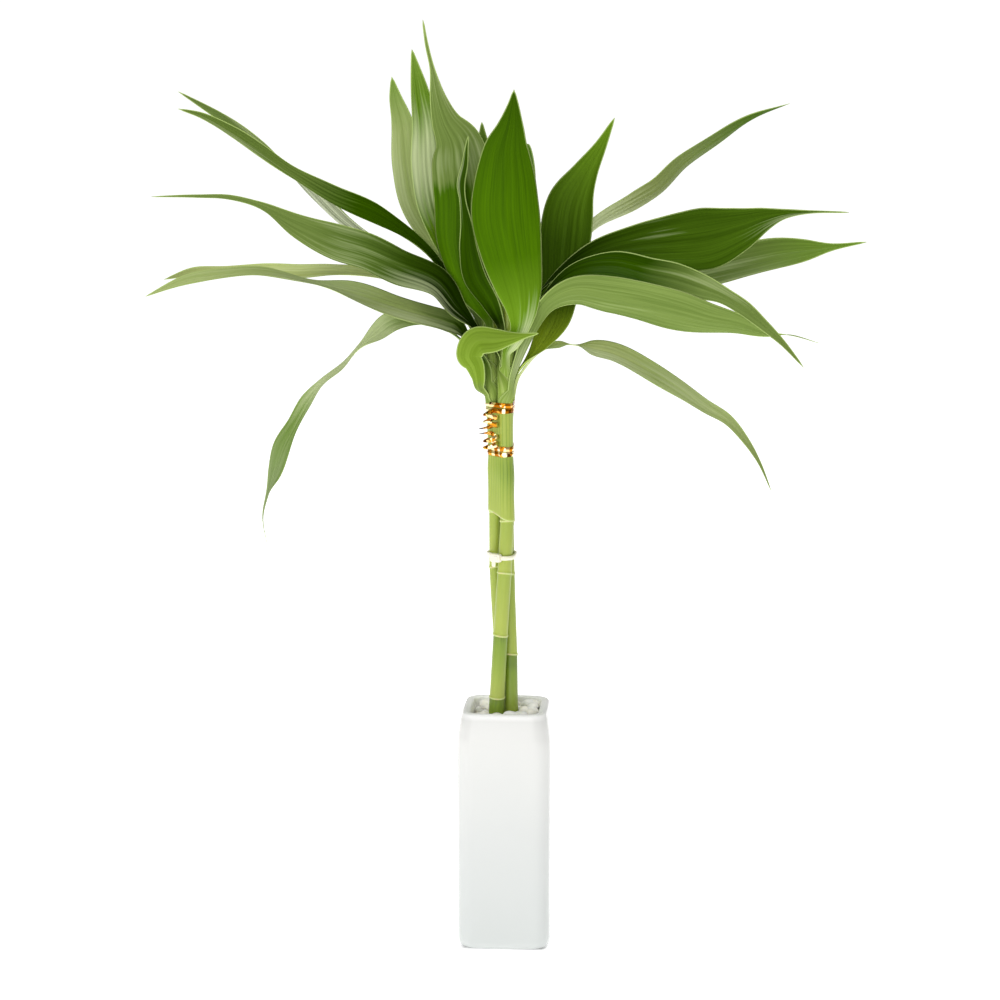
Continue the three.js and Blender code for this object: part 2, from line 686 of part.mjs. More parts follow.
const plant = new THREE.Group();
plant.rotation.z = THREE.MathUtils.degToRad(PLANT_TURN);
plant.add(piece("stalk_front", stalk("front"), finish("#a9c257", 0.45)));
plant.add(piece("stalk_right", stalk("right"), finish("#9dba4d", 0.45)));
plant.add(piece("stalk_left", stalk("left"), finish("#9dba4d", 0.45)));
plant.add(piece("zip_tie", zipTie(), nylon));
plant.add(piece("gold_tie_upper", goldTie(299.5, 295, 286.2, 2.36), foil));
plant.add(piece("gold_tie_lower", goldTie(275.9, 274, 282.4, 2.36), foil));
for (const [name, leaf] of Object.entries(leaves)) {
  plant.add(piece(name, leafBlade(leaf), finish(leaf.color, 0.4)));
}

const part = new THREE.Group();
part.add(piece("vase", vase(), glaze));
part.add(piece("stone_bed", stoneBed(), stone));
part.add(plant);

export default part;
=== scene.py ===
# %% [markdown]
# # A lucky bamboo in a tall square vase
#
# This lesson dresses a finished CAD model for a studio picture. The CAD model is the frame: it
# says where every piece sits and how large it is, and nothing here moves it. Each step makes
# one piece or one finish of the real object: a glazed vase, white pebbles, three ringed stalks
# that are held by a zip tie and two gold twist ties, and a crown of long leaves.

# %% Load the frame
import math

import bpy
import numpy as np
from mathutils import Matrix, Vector


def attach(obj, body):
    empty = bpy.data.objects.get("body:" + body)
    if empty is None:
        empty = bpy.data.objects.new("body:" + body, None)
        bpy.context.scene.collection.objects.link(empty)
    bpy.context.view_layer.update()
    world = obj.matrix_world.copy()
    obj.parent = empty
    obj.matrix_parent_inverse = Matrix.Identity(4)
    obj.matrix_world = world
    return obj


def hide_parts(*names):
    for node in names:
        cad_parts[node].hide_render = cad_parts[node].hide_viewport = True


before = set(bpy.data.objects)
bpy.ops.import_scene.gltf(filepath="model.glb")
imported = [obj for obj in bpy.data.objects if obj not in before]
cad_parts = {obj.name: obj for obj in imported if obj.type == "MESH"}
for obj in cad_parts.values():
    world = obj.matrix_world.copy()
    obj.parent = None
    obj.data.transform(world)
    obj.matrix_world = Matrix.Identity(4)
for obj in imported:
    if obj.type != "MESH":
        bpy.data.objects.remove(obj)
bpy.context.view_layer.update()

# %% [markdown]
# ## The camera
#
# The picture was taken from far away with a long lens, slightly from above, and the vase is
# turned a few degrees, so that a sliver of its right side shows. A long lens keeps the upright
# edges of the vase almost parallel. The camera stands as far away, as high and as far round as
# the photograph's outline asks for, and it looks at a point half way up the plant.

# %% Set the camera
CAMERA_TURN = math.radians(4)  # round to the right of the vase's front
CAMERA_RISE = math.radians(11.2)
CAMERA_DISTANCE = 1.9
LENS_MM, FILM_MM = 127, 36
LOOK_RIGHT, LOOK_UP = -0.0033, 0.2453

toward_camera = Vector((
    math.sin(CAMERA_TURN) * math.cos(CAMERA_RISE),
    -math.cos(CAMERA_TURN) * math.cos(CAMERA_RISE),
    math.sin(CAMERA_RISE),
))
picture_right = Vector((math.cos(CAMERA_TURN), math.sin(CAMERA_TURN), 0))
camera = bpy.data.objects.new("camera", bpy.data.cameras.new("camera"))
camera.data.lens = LENS_MM
camera.data.sensor_width = FILM_MM
camera.data.clip_end = 100
camera.location = picture_right * LOOK_RIGHT + Vector((0, 0, LOOK_UP))
camera.location += toward_camera * CAMERA_DISTANCE
camera.rotation_euler = toward_camera.to_track_quat("Z", "Y").to_euler()
bpy.context.scene.collection.objects.link(camera)
bpy.context.scene.camera = camera
print("camera at", [round(v, 3) for v in camera.location])

# %% [markdown]
# ## Tools for materials
#
# A colour is written the way a paint chart or a web page gives it, as an sRGB hex value, and
# one function turns it to the linear light that the renderer reckons with. A second function
# adds one node with its settings and its links, so that every material below reads as a list
# of what it is made of.

# %% Colour and node helpers
def linear(code):
    """sRGB hex to linear RGBA: c / 12.92 below 0.04045, else ((c + 0.055) / 1.055) ** 2.4."""
    share = np.array([int(code[i : i + 2], 16) / 255 for i in (1, 3, 5)])
    light = np.where(share <= 0.04045, share / 12.92, ((share + 0.055) / 1.055) ** 2.4)
    return (*light.tolist(), 1.0)


def add(tree, kind, inputs=None, stops=None, **settings):
    """Adds one node: settings are its properties, inputs its sockets, stops a ramp's colours."""
    node = tree.nodes.new("ShaderNode" + kind)
    for name, value in settings.items():
        setattr(node, name, value)
    for socket, value in (inputs or {}).items():
        if isinstance(value, bpy.types.NodeSocket):
            tree.links.new(value, node.inputs[socket])
        else:
            node.inputs[socket].default_value = value
    if stops:
        ramp = node.color_ramp
        while len(ramp.elements) < len(stops):
            ramp.elements.new(0.5)
        for element, (place, code) in zip(ramp.elements, stops):
            element.position = place
            element.color = linear(code)
    return node


def finish(name, build, **shader):
    """A material: build(tree) adds its pattern and gives the shader's linked sockets."""
    material = bpy.data.materials.new(name)
    material.use_nodes = True
    tree = material.node_tree
    skin = tree.nodes["Principled BSDF"]
    for socket, value in {**shader, **build(tree)}.items():
        socket = socket.replace("_", " ")
        if isinstance(value, bpy.types.NodeSocket):
            tree.links.new(value, skin.inputs[socket])
        else:
            skin.inputs[socket].default_value = value
    return material


MM = 0.001  # the scene is in metres, and the sizes below are in millimetres

# %% [markdown]
# ## Tools for shapes
#
# Most of this object is long: stalks, leaves and ties are all a closed section carried along a
# path. So one function turns a whole array of sections into a mesh. It joins each section to
# the next with four-sided faces, closes the two ends with a fan, or joins the last section to
# the first, and turns the faces outwards by the sign of the volume.

# %% Skin a row of sections
def faces_of(rows, around, joined):
    """Quads (i, j), (i, j+1), (i+1, j+1), (i+1, j), with j counted round the section."""
    i, j = np.meshgrid(np.arange(rows if joined else rows - 1), np.arange(around), indexing="ij")
    after, beside = (i + 1) % rows, (j + 1) % around
    quads = np.stack([i * around + j, i * around + beside, after * around + beside,
                      after * around + j], axis=-1)
    return quads.reshape(-1, 4)


def loft(sections, joined=False):
    """Skins sections, an array of (rows, points round, 3); gives points, quads and triangles."""
    rows, around = sections.shape[:2]
    points = sections.reshape(-1, 3)
    quads = faces_of(rows, around, joined)
    triangles = np.zeros((0, 3), int)
    if not joined:
        points = np.vstack([points, sections[0].mean(axis=0), sections[-1].mean(axis=0)])
        j = np.arange(around)
        beside = (j + 1) % around
        start = np.stack([np.full(around, rows * around), beside, j], axis=-1)
        last = (rows - 1) * around
        end = np.stack([np.full(around, rows * around + 1), last + j, last + beside], axis=-1)
        triangles = np.vstack([start, end])
    a, b, c, d = (points[quads[:, k]] for k in range(4))
    volume = np.einsum("ij,ij->", a, np.cross(b, c)) + np.einsum("ij,ij->", a, np.cross(c, d))
    p, q, r = (points[triangles[:, k]] for k in range(3))
    volume += np.einsum("ij,ij->", p, np.cross(q, r))
    if volume < 0:
        quads, triangles = quads[:, ::-1], triangles[:, ::-1]
    return points, quads, triangles


def together(parts):
    """Several lofts as one mesh: each part's face numbers move up by the points before it."""
    counts = np.cumsum([0] + [len(points) for points, _, _ in parts])
    points = np.vstack([points for points, _, _ in parts])
    quads = np.vstack([quads + n for (_, quads, _), n in zip(parts, counts)])
    triangles = np.vstack([triangles + n for (_, _, triangles), n in zip(parts, counts)])
    return points, quads, triangles


# %% [markdown]
# The points and faces then become an object. Every piece stays at the scene's origin, rides on
# the plant's one body, and hides the CAD node that it stands for. It can carry named values for
# each point, which its finish reads.

# %% Put a piece in the scene
def piece(name, shape, material, stands_for, **values):
    """Puts points (in mm) and faces in a mesh, with one named value or vector per point."""
    points, quads, triangles = shape
    mesh = bpy.data.meshes.new(name)
    mesh.vertices.add(len(points))
    mesh.vertices.foreach_set("co", (points * MM).astype(np.float32).ravel())
    corners = np.concatenate([quads.ravel(), triangles.ravel()])
    mesh.loops.add(len(corners))
    mesh.loops.foreach_set("vertex_index", corners.astype(np.int32))
    sizes = np.concatenate([np.full(len(quads), 4), np.full(len(triangles), 3)])
    mesh.polygons.add(len(sizes))
    mesh.polygons.foreach_set("loop_start", (np.cumsum(sizes) - sizes).astype(np.int32))
    mesh.polygons.foreach_set("use_smooth", np.ones(len(sizes), bool))
    mesh.update(calc_edges=True)
    for key, value in values.items():
        value = np.asarray(value, np.float32)
        kind = "FLOAT_VECTOR" if value.ndim == 2 else "FLOAT"
        attribute = mesh.attributes.new(key, kind, "POINT")
        attribute.data.foreach_set("vector" if value.ndim == 2 else "value", value.ravel())
    mesh.materials.append(material)
    made = bpy.data.objects.new(name, mesh)
    bpy.context.scene.collection.objects.link(made)
    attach(made, "root")
    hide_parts(stands_for)
    print(f"{name}: {2 * len(quads) + len(triangles)} triangles")
    return made


# %% [markdown]
# The plant is turned a little in its vase, and its parts bend smoothly. One function turns
# points about the upright axis. Another draws a smooth curve through a few chosen points, which
# is easier to steer than a spline with handles.

# %% Turn and smooth
PLANT_TURN = 4  # degrees that the plant is turned in its vase, as the CAD model has it


def turned(points, degrees):
    """Turns points about the upright axis: x cos - y sin, x sin + y cos."""
    angle = math.radians(degrees)
    turn = np.array([[math.cos(angle), math.sin(angle), 0], [-math.sin(angle), math.cos(angle), 0],
                     [0, 0, 1]])
    return points @ turn


def curve(points, share, centripetal=False):
    """A smooth curve through points, read at shares 0 to 1 of their count.

    Each stretch is the cubic x1 + t1 w + (3 x2 - 3 x1 - 2 t1 - t2) w^2
    + (2 x1 - 2 x2 + t1 + t2) w^3 (Catmull-Rom). The slopes t1 and t2 are half of what the
    neighbours differ by, or, centripetal, are weighted by the root of the distances, which
    keeps the curve from swinging out where points lie close together.
    """
    points = np.asarray(points, float)
    padded = np.vstack([2 * points[0] - points[1], points, 2 * points[-1] - points[-2]])
    place = np.asarray(share) * (len(points) - 1)
    i = np.minimum(place.astype(int), len(points) - 2)
    w = (place - i)[:, None]
    x0, x1, x2, x3 = (padded[i + k] for k in range(4))
    if centripetal:
        d0, d1, d2 = (
            np.sqrt(np.linalg.norm(b - a, axis=1))[:, None]
            for a, b in ((x0, x1), (x1, x2), (x2, x3))
        )
        t1 = ((x1 - x0) / d0 - (x2 - x0) / (d0 + d1) + (x2 - x1) / d1) * d1
        t2 = ((x2 - x1) / d1 - (x3 - x1) / (d1 + d2) + (x3 - x2) / d2) * d1
    else:
        t1, t2 = (x2 - x0) / 2, (x3 - x1) / 2
    return (x1 + t1 * w + (3 * x2 - 3 * x1 - 2 * t1 - t2) * w**2
            + (2 * x1 - 2 * x2 + t1 + t2) * w**3)


# %% [markdown]
# ## The vase
#
# The real vase is slip-cast stoneware with a thick white glaze. Slip casting leaves no sharp
# edge: the corners are round, the sides a little full, and the glaze rounds the rim further.
# It could be a box with bevelled edges, but a rounded square carried up a profile follows the
# full sides and the drawn-in rim better, and the same function makes the inner wall.

# %% Draw the vase's rings
VASE_OUTSIDE = [  # height, half width, corner radius
    [0, 22.3, 7], [0.6, 23.5, 8], [2, 24.3, 8.5], [5, 24.8, 8.5], [30, 24.9, 8.5],
    [75, 25.1, 8.5], [115.5, 25.1, 8.5], [120.5, 24.6, 8.5], [125, 24, 8.2], [129, 23.2, 8],
    [131.1, 22.3, 7.6], [131.7, 21, 7],
]
VASE_INSIDE = [[131.1, 18.7, 6], [129, 18.2, 5.5], [100, 18.4, 5.5], [7, 18.4, 5.5]]
SIDE_POINTS, CORNER_POINTS = 12, 12


def rounded_square(half, corner, height, fullness):
    """One side and one corner, turned by 0, 90, 180 and 270 degrees.

    The side runs from -(half - corner) to half - corner at x = half + fullness (1 - s^2), and
    the corner is a quarter circle. half, corner, height and fullness are columns.
    """
    s = np.linspace(-1, 1, SIDE_POINTS)
    side = np.stack([half + fullness * (1 - s**2), (half - corner) * s, height + 0 * s], axis=-1)
    a = np.linspace(0, math.pi / 2, CORNER_POINTS + 1)[1:-1]
    bend = np.stack([half - corner + corner * np.cos(a), half - corner + corner * np.sin(a),
                     height + 0 * a], axis=-1)
    quarter = np.concatenate([side, bend], axis=1)
    return np.concatenate([turned(quarter, 90 * k) for k in range(4)], axis=1)


def vase_rings(profile, steps, fullness):
    """The profile's rows, smoothed along their length, as rings of the vase."""
    height, half, corner = curve(profile, np.linspace(0, 1, steps), centripetal=True).T
    return rounded_square(*(v[:, None] for v in (half, corner, height)), fullness)


# %% [markdown]
# The glaze is glossy and white. A painted shade makes it a little cooler and darker towards the
# foot, and painted light makes it whitest inside and on the lip, which lie in shade. A point's
# height can't tell the inside from the outside, so the mesh carries a value that is 1 on the
# inner wall.

# %% Glaze the vase
def glaze(tree):
    """White glaze, painted cooler and darker towards the foot as painted shade, with waves about 9 mm
    long.
    """
    place = add(tree, "TexCoord")
    cloud = add(tree, "TexNoise", {"Vector": place.outputs["Object"], "Scale": 1 / (36 * MM),
                                   "Detail": 2})
    upright = add(tree, "SeparateXYZ", {0: place.outputs["Object"]})
    # Painted shade: the ramp below makes the white darker and cooler low down and lighter at the top.
    height = add(tree, "MapRange", {0: upright.outputs[2], 1: 0.0, 2: 135 * MM})
    mixed = add(tree, "Math", {0: cloud.outputs[0], 1: 0.25, 2: height.outputs[0]},
                operation="MULTIPLY_ADD")
    tone = add(tree, "ValToRGB", {0: mixed.outputs[0]},
               stops=[(0.1, "#d0d4d2"), (0.6, "#d6d8d6"), (1.0, "#e0e0dd")])
    # Painted light: the glaze is made whitest inside and on the lip, which lie in shade.
    lip = add(tree, "MapRange", {0: upright.outputs[2], 1: 128 * MM, 2: 131 * MM})
    inside = add(tree, "Attribute", attribute_name="inside")
    # thick is the share of this painted light, not a thicker glaze.
    thick = add(tree, "Math", {0: lip.outputs[0], 1: inside.outputs["Fac"]}, operation="MAXIMUM")
    tone = add(tree, "Mix", {0: thick.outputs[0], 6: tone.outputs[0], 7: linear("#fbfbf9")},
               data_type="RGBA")
    wave = add(tree, "TexNoise", {"Vector": place.outputs["Object"], "Scale": 1 / (9 * MM),
                                  "Detail": 1})
    bump = add(tree, "Bump", {"Height": wave.outputs[0], "Strength": 0.06, "Distance": 1 * MM})
    return {"Base_Color": tone.outputs[2], "Normal": bump.outputs[0]}


# A gloss glaze over a white body: the glaze reflects like glass (IOR 1.5) and is very smooth.
white_glaze = finish("white_stoneware_glaze", glaze, Roughness=0.2, IOR=1.5)
outer_rings = vase_rings(VASE_OUTSIDE, 90, 0.35)
inner_rings = vase_rings([VASE_OUTSIDE[-1], *VASE_INSIDE], 40, 0)[1:]
# Two more values follow, for the middles of the closed foot and of the floor inside.
outer_count, inner_count = (rings[..., 0].size for rings in (outer_rings, inner_rings))
inside = np.concatenate([np.zeros(outer_count), np.ones(inner_count), [0, 1]])
piece("stoneware_vase", loft(np.concatenate([outer_rings, inner_rings])), white_glaze, "vase",
      inside=inside)

# %% [markdown]
# ## The stalks
#
# A lucky bamboo stalk is a bare green cane with a ring wherever a leaf once clasped it. The
# scar stands out a little, like the lip of a sleeve. Just under a ring the skin is darkest, and
# it fades to a light yellow green down to the next ring. A turned profile would be straight, so
# the ring of points is carried along the stalk's own bent line instead. Each point also stores
# where it lies between two rings, which is what the skin's colour follows.

# %% Draw a stalk with its scars
STALKS = {  # rows of the middle line: x, y, height, radius
    "front": dict(
        line=[
            [-9, -3, 14, 4.1], [-5.2, -4, 131.5, 4.1], [-3, -4, 171.5, 3.95],
            [-0.9, -4, 205.9, 3.8], [0.5, -4, 234.5, 3.7], [-0.5, -4, 271.5, 3.7],
            [-0.7, -4, 300.5, 3.7], [0.1, -5, 319.5, 4.2], [0.9, -5.8, 339.5, 3.8],
            [1.2, -6.2, 351.5, 2.2], [1.2, -6.4, 357.5, 0.7],
        ],
        rings=[61.5, 99.5, 137, 171.5, 205.9, 234.5],
    ),
    "right": dict(
        line=[
            [5.5, 1, 14, 3.9], [2.7, 1.2, 131.5, 3.85], [2.5, 2.3, 159.5, 3.7],
            [1.5, 3.4, 191.5, 3.55], [1.1, 4, 211.5, 3.45], [0.6, 4.7, 241.5, 3.4],
            [-0.2, 4.8, 271.5, 3.4], [0.4, 5.3, 300.5, 3.5], [2.5, 6.8, 321.5, 4.1],
            [3.7, 8.2, 341.5, 3.7], [4.2, 8.9, 353.5, 2], [4.4, 9.2, 359.5, 0.7],
        ],
        # This stalk's skin is painted darker all over: a painted shade.
        rings=[49.5, 87.5, 123.5, 159.5, 203.5, 230.5], painted_shade=0.16,
    ),
    "left": dict(
        line=[
            [2, 10, 14, 3.5], [-1.3, 9.5, 131.5, 3.5], [-3.7, 8, 171.5, 3.4], [-5, 7.2, 191.5, 3.3],
            [-5.9, 5.6, 207.5, 3.2], [-6.1, 2.6, 239, 3.1], [-5.9, 1, 269.5, 3.1],
            [-7, 0.8, 298.5, 3.2], [-7.9, 1.3, 321.5, 4], [-8.7, 1.9, 341.5, 3.6],
            [-9, 2.2, 353.5, 2], [-9.1, 2.3, 359.5, 0.7],
        ],
        rings=[57.5, 94.5, 132.5, 169.5, 207.5, 239],
    ),
}
RING_RISE = 0.35
RING_TILT = 0.14  # the scar's edge dips to one side, as a sleeve's lip does
SKIN_POINTS = 56


def stalk_at(name, heights):
    """Middle and radius of a stalk at each height, straight between the rows of its line."""
    x, y, z, radius = np.array(STALKS[name]["line"], float).T
    middle = np.stack([np.interp(heights, z, x), np.interp(heights, z, y), heights], axis=-1)
    return middle, np.interp(heights, z, radius)


def stalk(name, seed):
    """Ring of points x + r cos a, y + r sin a, with r = radius + the scars' lips.

    A lip is 0.35 mm high just above the scar and falls off as exp(-(d / 0.9)^2) upwards and
    exp(-(d / 0.35)^2) downwards, where d is the distance to the scar's dipping edge.
    """
    line = np.array(STALKS[name]["line"], float)
    rings = np.array(STALKS[name]["rings"])
    fine = (rings[:, None] + np.linspace(-2.4, 2.4, 25)).ravel()
    heights = np.unique(np.concatenate([np.linspace(line[0, 2], line[-1, 2], 180), fine]))
    angle = np.linspace(0, 2 * np.pi, SKIN_POINTS, endpoint=False)
    middle, radius = stalk_at(name, heights)
    edge = rings[:, None] + RING_TILT * radius.mean() * np.cos(angle - seed - np.arange(6)[:, None])
    gap = heights[:, None, None] - edge[None]
    lip = np.where(gap > 0, np.exp(-((gap / 0.9) ** 2)), np.exp(-((gap / 0.35) ** 2)))
    nearest = lip.max(axis=1)
    foot = np.clip((heights - heights[0]) / 0.8, 0, 1)[:, None]
    reach = radius[:, None] * (0.93 + 0.07 * foot) + RING_RISE * nearest
    out = np.stack([np.cos(angle), np.sin(angle), 0 * angle], axis=-1)
    points = middle[:, None] + reach[..., None] * out
    # 0 just under a scar, and up to 1 above the next one down.
    edges = np.vstack([np.full(SKIN_POINTS, line[0, 2] - 8), edge, np.full(SKIN_POINTS, 375)])
    above = (heights[:, None, None] >= edges[None]).sum(axis=1)
    top = np.take_along_axis(edges, above, axis=0)
    bottom = np.take_along_axis(edges, above - 1, axis=0)
    fade = np.clip((top - heights[:, None]) / (top - bottom), 0, 1)
    # The young skin near the crown is pale under its scars too. One stalk gets a painted shade.
    fade += (1 - fade) * 0.7 * np.clip((top - 172) / 14, 0, 1) - STALKS[name].get("painted_shade", 0)
    grain = np.stack([np.broadcast_to(angle * 4, points.shape[:2]), points[..., 2],
                      np.full(points.shape[:2], seed * 9)], axis=-1)
    return points, fade, nearest, grain


# %% [markdown]
# ### The old sheath
#
# A dry leaf base is still wrapped round the left and the front stalk, under the gold ties. It
# clings like paper, with fine ribs and a slanted lower edge. Cloth drawn tight by simulation
# would take long, so the sheath is the tight outline of both stalks seen from above, taken
# at many heights. The same outline serves the ties.

# %% Wrap the old sheath
def loop_round(z, clearance, steps, names=tuple(STALKS)):
    """Points round some stalks and their outward directions: middle + (radius + gap) (cos, sin)."""
    angle = np.linspace(0, 2 * np.pi, steps, endpoint=False)
    out = np.stack([np.cos(angle), np.sin(angle), 0 * angle], axis=-1)
    middles, radii = zip(*(stalk_at(name, np.array([z])) for name in names))
    reach = np.stack([out @ middle[0] + radius[0] for middle, radius in zip(middles, radii)])
    best = reach.argmax(axis=0)
    middle = np.stack([m[0] for m in middles])[best]
    radius = np.array([r[0] for r in radii])[best]
    return middle + (radius + clearance)[:, None] * out, out


def evenly(points, out, steps):
    """The same closed loop and directions at equal steps of its length, also on its flat sides."""
    both = np.hstack([points, out])
    both = np.vstack([both, both[:1]])
    length = np.insert(np.cumsum(np.hypot(*np.diff(both[:, :2], axis=0).T)), 0, 0)
    spots = np.linspace(0, length[-1], steps, endpoint=False)
    even = np.stack([np.interp(spots, length, column) for column in both.T], axis=-1)
    return even[:, :3], even[:, 3:]


WRAP_TOP, WRAP_BOTTOM, WRAP_SLANT = 297, 236.8, 2.4
WRAP_GAP = 0.5
WRAP_SAG, SAG_AT, SAG_REACH = 0.4, 261, 7  # how much looser it hangs just under the lower tie
WRAP_POINTS, WRAP_ROWS = 160, 40


def old_sheath(seed):
    """The dry sheath round the left and the front stalk, down to a slanted lower edge.

    Each point is the reach of the two stalks + gap + 0.1 mm on the sheath's 26 ribs, where
    gap = 0.5 + 0.4 exp(-((z - 261) / 7)^2) mm and a rib is the 4th power of a cosine whose
    turns are drawn together and apart by a sine.
    """
    angle = np.linspace(0, 2 * np.pi, WRAP_POINTS, endpoint=False)
    rib = np.clip(np.cos(26 * angle + 2.2 * np.sin(3 * angle)), 0, 1) ** 4
    bottom = WRAP_BOTTOM - WRAP_SLANT * np.cos(angle)
    rows = []
    for t in np.linspace(0, 1, WRAP_ROWS):
        z = WRAP_BOTTOM + t * (WRAP_TOP - WRAP_BOTTOM)
        gap = WRAP_GAP + WRAP_SAG * math.exp(-(((z - SAG_AT) / SAG_REACH) ** 2))
        points, out = evenly(*loop_round(z, gap, 360, ("left", "front")), WRAP_POINTS)
        points = points + 0.1 * rib[:, None] * out
        points[:, 2] = bottom + t * (WRAP_TOP - bottom)
        rows.append(points)
    points = np.array(rows)
    above = points[..., 2] - bottom
    # It is painted darker in a soft band 27 mm above the edge, mostly on its right: a painted shade.
    green = (0.35 + 0.3 * np.cos(angle)) * np.exp(-(((above - 27) / 11) ** 2))
    fade = 0.85 - 0.6 * rib * np.clip(above / 12, 0.2, 1) - green
    edge = np.exp(-((above / 0.5) ** 2))
    grain = np.stack([np.broadcast_to(angle * 5, above.shape), points[..., 2],
                      np.full(above.shape, seed * 9)], axis=-1)
    return points, fade, edge, grain


# %% [markdown]
# ### The skin of the stalks
#
# The skin follows the values that each point carries: its place between two scars, its share
# of a scar, and a grain in millimetres that runs with the stalk.

# %% Colour the stalks
def two_more(values):
    """Adds values for the two points in the middle of the closed ends."""
    flat = values.reshape(-1, *values.shape[2:])
    return np.concatenate([flat, values[:1, 0], values[-1:, 0]])


def cane_skin(tree):
    """Living cane: dark under a scar, yellow green lower down, and fine lengthwise streaks."""
    fade = add(tree, "Attribute", attribute_name="fade")
    scar = add(tree, "Attribute", attribute_name="scar")
    grain = add(tree, "Attribute", attribute_name="grain")
    # Streaks about 1 mm wide and 40 mm long.
    place = add(tree, "Mapping", {"Vector": grain.outputs["Vector"], "Scale": (1 / 1.1, 1 / 40, 1)})
    streak = add(tree, "TexNoise", {"Vector": place.outputs[0], "Scale": 1, "Detail": 3})
    shift = add(tree, "Math", {0: streak.outputs[0], 1: 0.32, 2: -0.16}, operation="MULTIPLY_ADD")
    along = add(tree, "Math", {0: fade.outputs["Fac"], 1: shift.outputs[0]})
    skin = add(tree, "ValToRGB", {0: along.outputs[0]},
               stops=[(0.0, "#6b8424"), (0.12, "#7c972a"), (0.5, "#8fa538"), (0.95, "#a8b64c")])
    fleck = add(tree, "TexNoise", {"Vector": grain.outputs["Vector"], "Scale": 1 / 1.4, "Detail": 4})
    flecks = add(tree, "ValToRGB", {0: fleck.outputs[0]}, stops=[(0.62, "#000000"), (0.72, "#ffffff")])
    spots = add(tree, "Math", {0: flecks.outputs[0], 1: 0.22}, operation="MULTIPLY")
    spotted = add(tree, "Mix", {0: spots.outputs[0], 6: skin.outputs[0], 7: linear("#7b8f3c")},
                  data_type="RGBA")
    # The scar is a thin dry edge, tan where it is oldest.
    dry = add(tree, "TexNoise", {"Vector": grain.outputs["Vector"], "Scale": 1 / 2.9})
    edge = add(tree, "ValToRGB", {0: dry.outputs[0]}, stops=[(0.45, "#c9d88a"), (0.68, "#d2c08a")])
    band = add(tree, "ValToRGB", {0: scar.outputs["Fac"]}, stops=[(0.45, "#000000"), (0.8, "#ffffff")])
    colour = add(tree, "Mix", {0: band.outputs[0], 6: spotted.outputs[2], 7: edge.outputs[0]},
                 data_type="RGBA")
    bump = add(tree, "Bump", {"Height": streak.outputs[0], "Strength": 0.25, "Distance": 0.4 * MM})
    return {"Base_Color": colour.outputs[2], "Normal": bump.outputs[0]}


cane = finish("living_cane", cane_skin, Roughness=0.34, IOR=1.45, Subsurface_Weight=0.08,
              Subsurface_Radius=(0.9, 1.0, 0.3), Subsurface_Scale=0.001)
for seed, name in enumerate(STALKS):
    parts = [stalk(name, seed)] + ([old_sheath(5)] if name == "front" else [])
    body, quads, triangles = together([loft(points) for points, _, _, _ in parts])
    fade, scar, grain = (np.concatenate([two_more(part[k]) for part in parts]) for k in (1, 2, 3))
    piece(f"cane_{name}", (turned(body, PLANT_TURN), quads, triangles), cane,
          f"stalk_{name}", fade=fade, scar=scar, grain=grain)

# %% [markdown]
# ## The pebbles
#
# The vase is filled with tumbled white pebbles, and only the top layer shows. A physics
# simulation could drop them in, but that is slow and hard to repeat. Instead the pebbles start
# on a loose grid, with a seeded draw for place, size and turn, and are left out where a stalk
# stands. Each is a ball that is flattened and swelled by two slow waves, so no two are alike.

# %% Shape one pebble
PEBBLE_LAYERS = [(120, 0), (124.4, 0.5), (127.6, 0.2)]  # height of the middles, grid shift
PEBBLE_STEP = 6.9
INNER_HALF = 17.9
BED_TOP = 119
draw = np.random.default_rng(11)


def pebble(middle, size, turn, waves):
    """A ball r (cos b cos a, 0.9 cos b sin a, 0.66 sin b) with r = size (1 + waves)."""
    a = np.linspace(0, 2 * np.pi, 26, endpoint=False)
    b = np.linspace(-np.pi / 2, np.pi / 2, 17)[1:-1, None]
    swell = size * (1 + 0.07 * np.cos(2 * a + waves[0]) * np.cos(b) + 0.06 * np.sin(a + waves[1])
                    + 0.05 * np.sin(2 * b + waves[2]))
    ball = np.stack([swell * np.cos(b) * np.cos(a), 0.9 * swell * np.cos(b) * np.sin(a),
                     0.66 * swell * np.sin(b) * np.ones_like(a)], axis=-1)
    tilt = math.radians(16) * math.sin(waves[1])
    lean = np.array([[math.cos(tilt), 0, math.sin(tilt)], [0, 1, 0],
                     [-math.sin(tilt), 0, math.cos(tilt)]])
    return turned(ball @ lean, turn) + middle


def clear_of_stalks(x, y, z, size):
    """True where a pebble is clear of every stalk."""
    for name in STALKS:
        middle, radius = stalk_at(name, np.array([z]))
        centre = turned(middle, PLANT_TURN)[0]
        if math.hypot(x - centre[0], y - centre[1]) < radius[0] + 0.8 * size:
            return False
    return True


# %% [markdown]
# The heap is made layer by layer. The draws come in one fixed order from one seed, so the same
# pebbles lie in the same places each time.

# %% Heap the pebbles
pebbles, tints = [], []
for height, shift in PEBBLE_LAYERS:
    spots = np.arange(-3, 4) * PEBBLE_STEP
    for column, row in ((c, r) for c in range(7) for r in range(7)):
        size = 3.5 + 1.1 * draw.random()
        x = spots[column] + (shift + 0.5 * (row % 2) - 0.25) * PEBBLE_STEP + draw.normal(0, 0.5)
        y = spots[row] + draw.normal(0, 0.6)
        reach = INNER_HALF - 0.93 * size
        if max(abs(x), abs(y)) > reach + 2.6:
            continue
        x, y = np.clip([x, y], -reach, reach)
        # The top layer has a few hollows, and the heap is higher at the front, back and right.
        if height > 126 and draw.random() > 0.85 + 0.01 * (x + y):
            continue
        z = height + 0.03 * x + 0.05 * abs(y) + 0.35 * draw.normal()
        if clear_of_stalks(x, y, z, size):
            ball = pebble(np.array([x, y, z]), size, 360 * draw.random(), 6 * draw.random(3))
            pebbles.append(loft(ball))
            tints.append(np.full(len(pebbles[-1][0]), draw.random()))


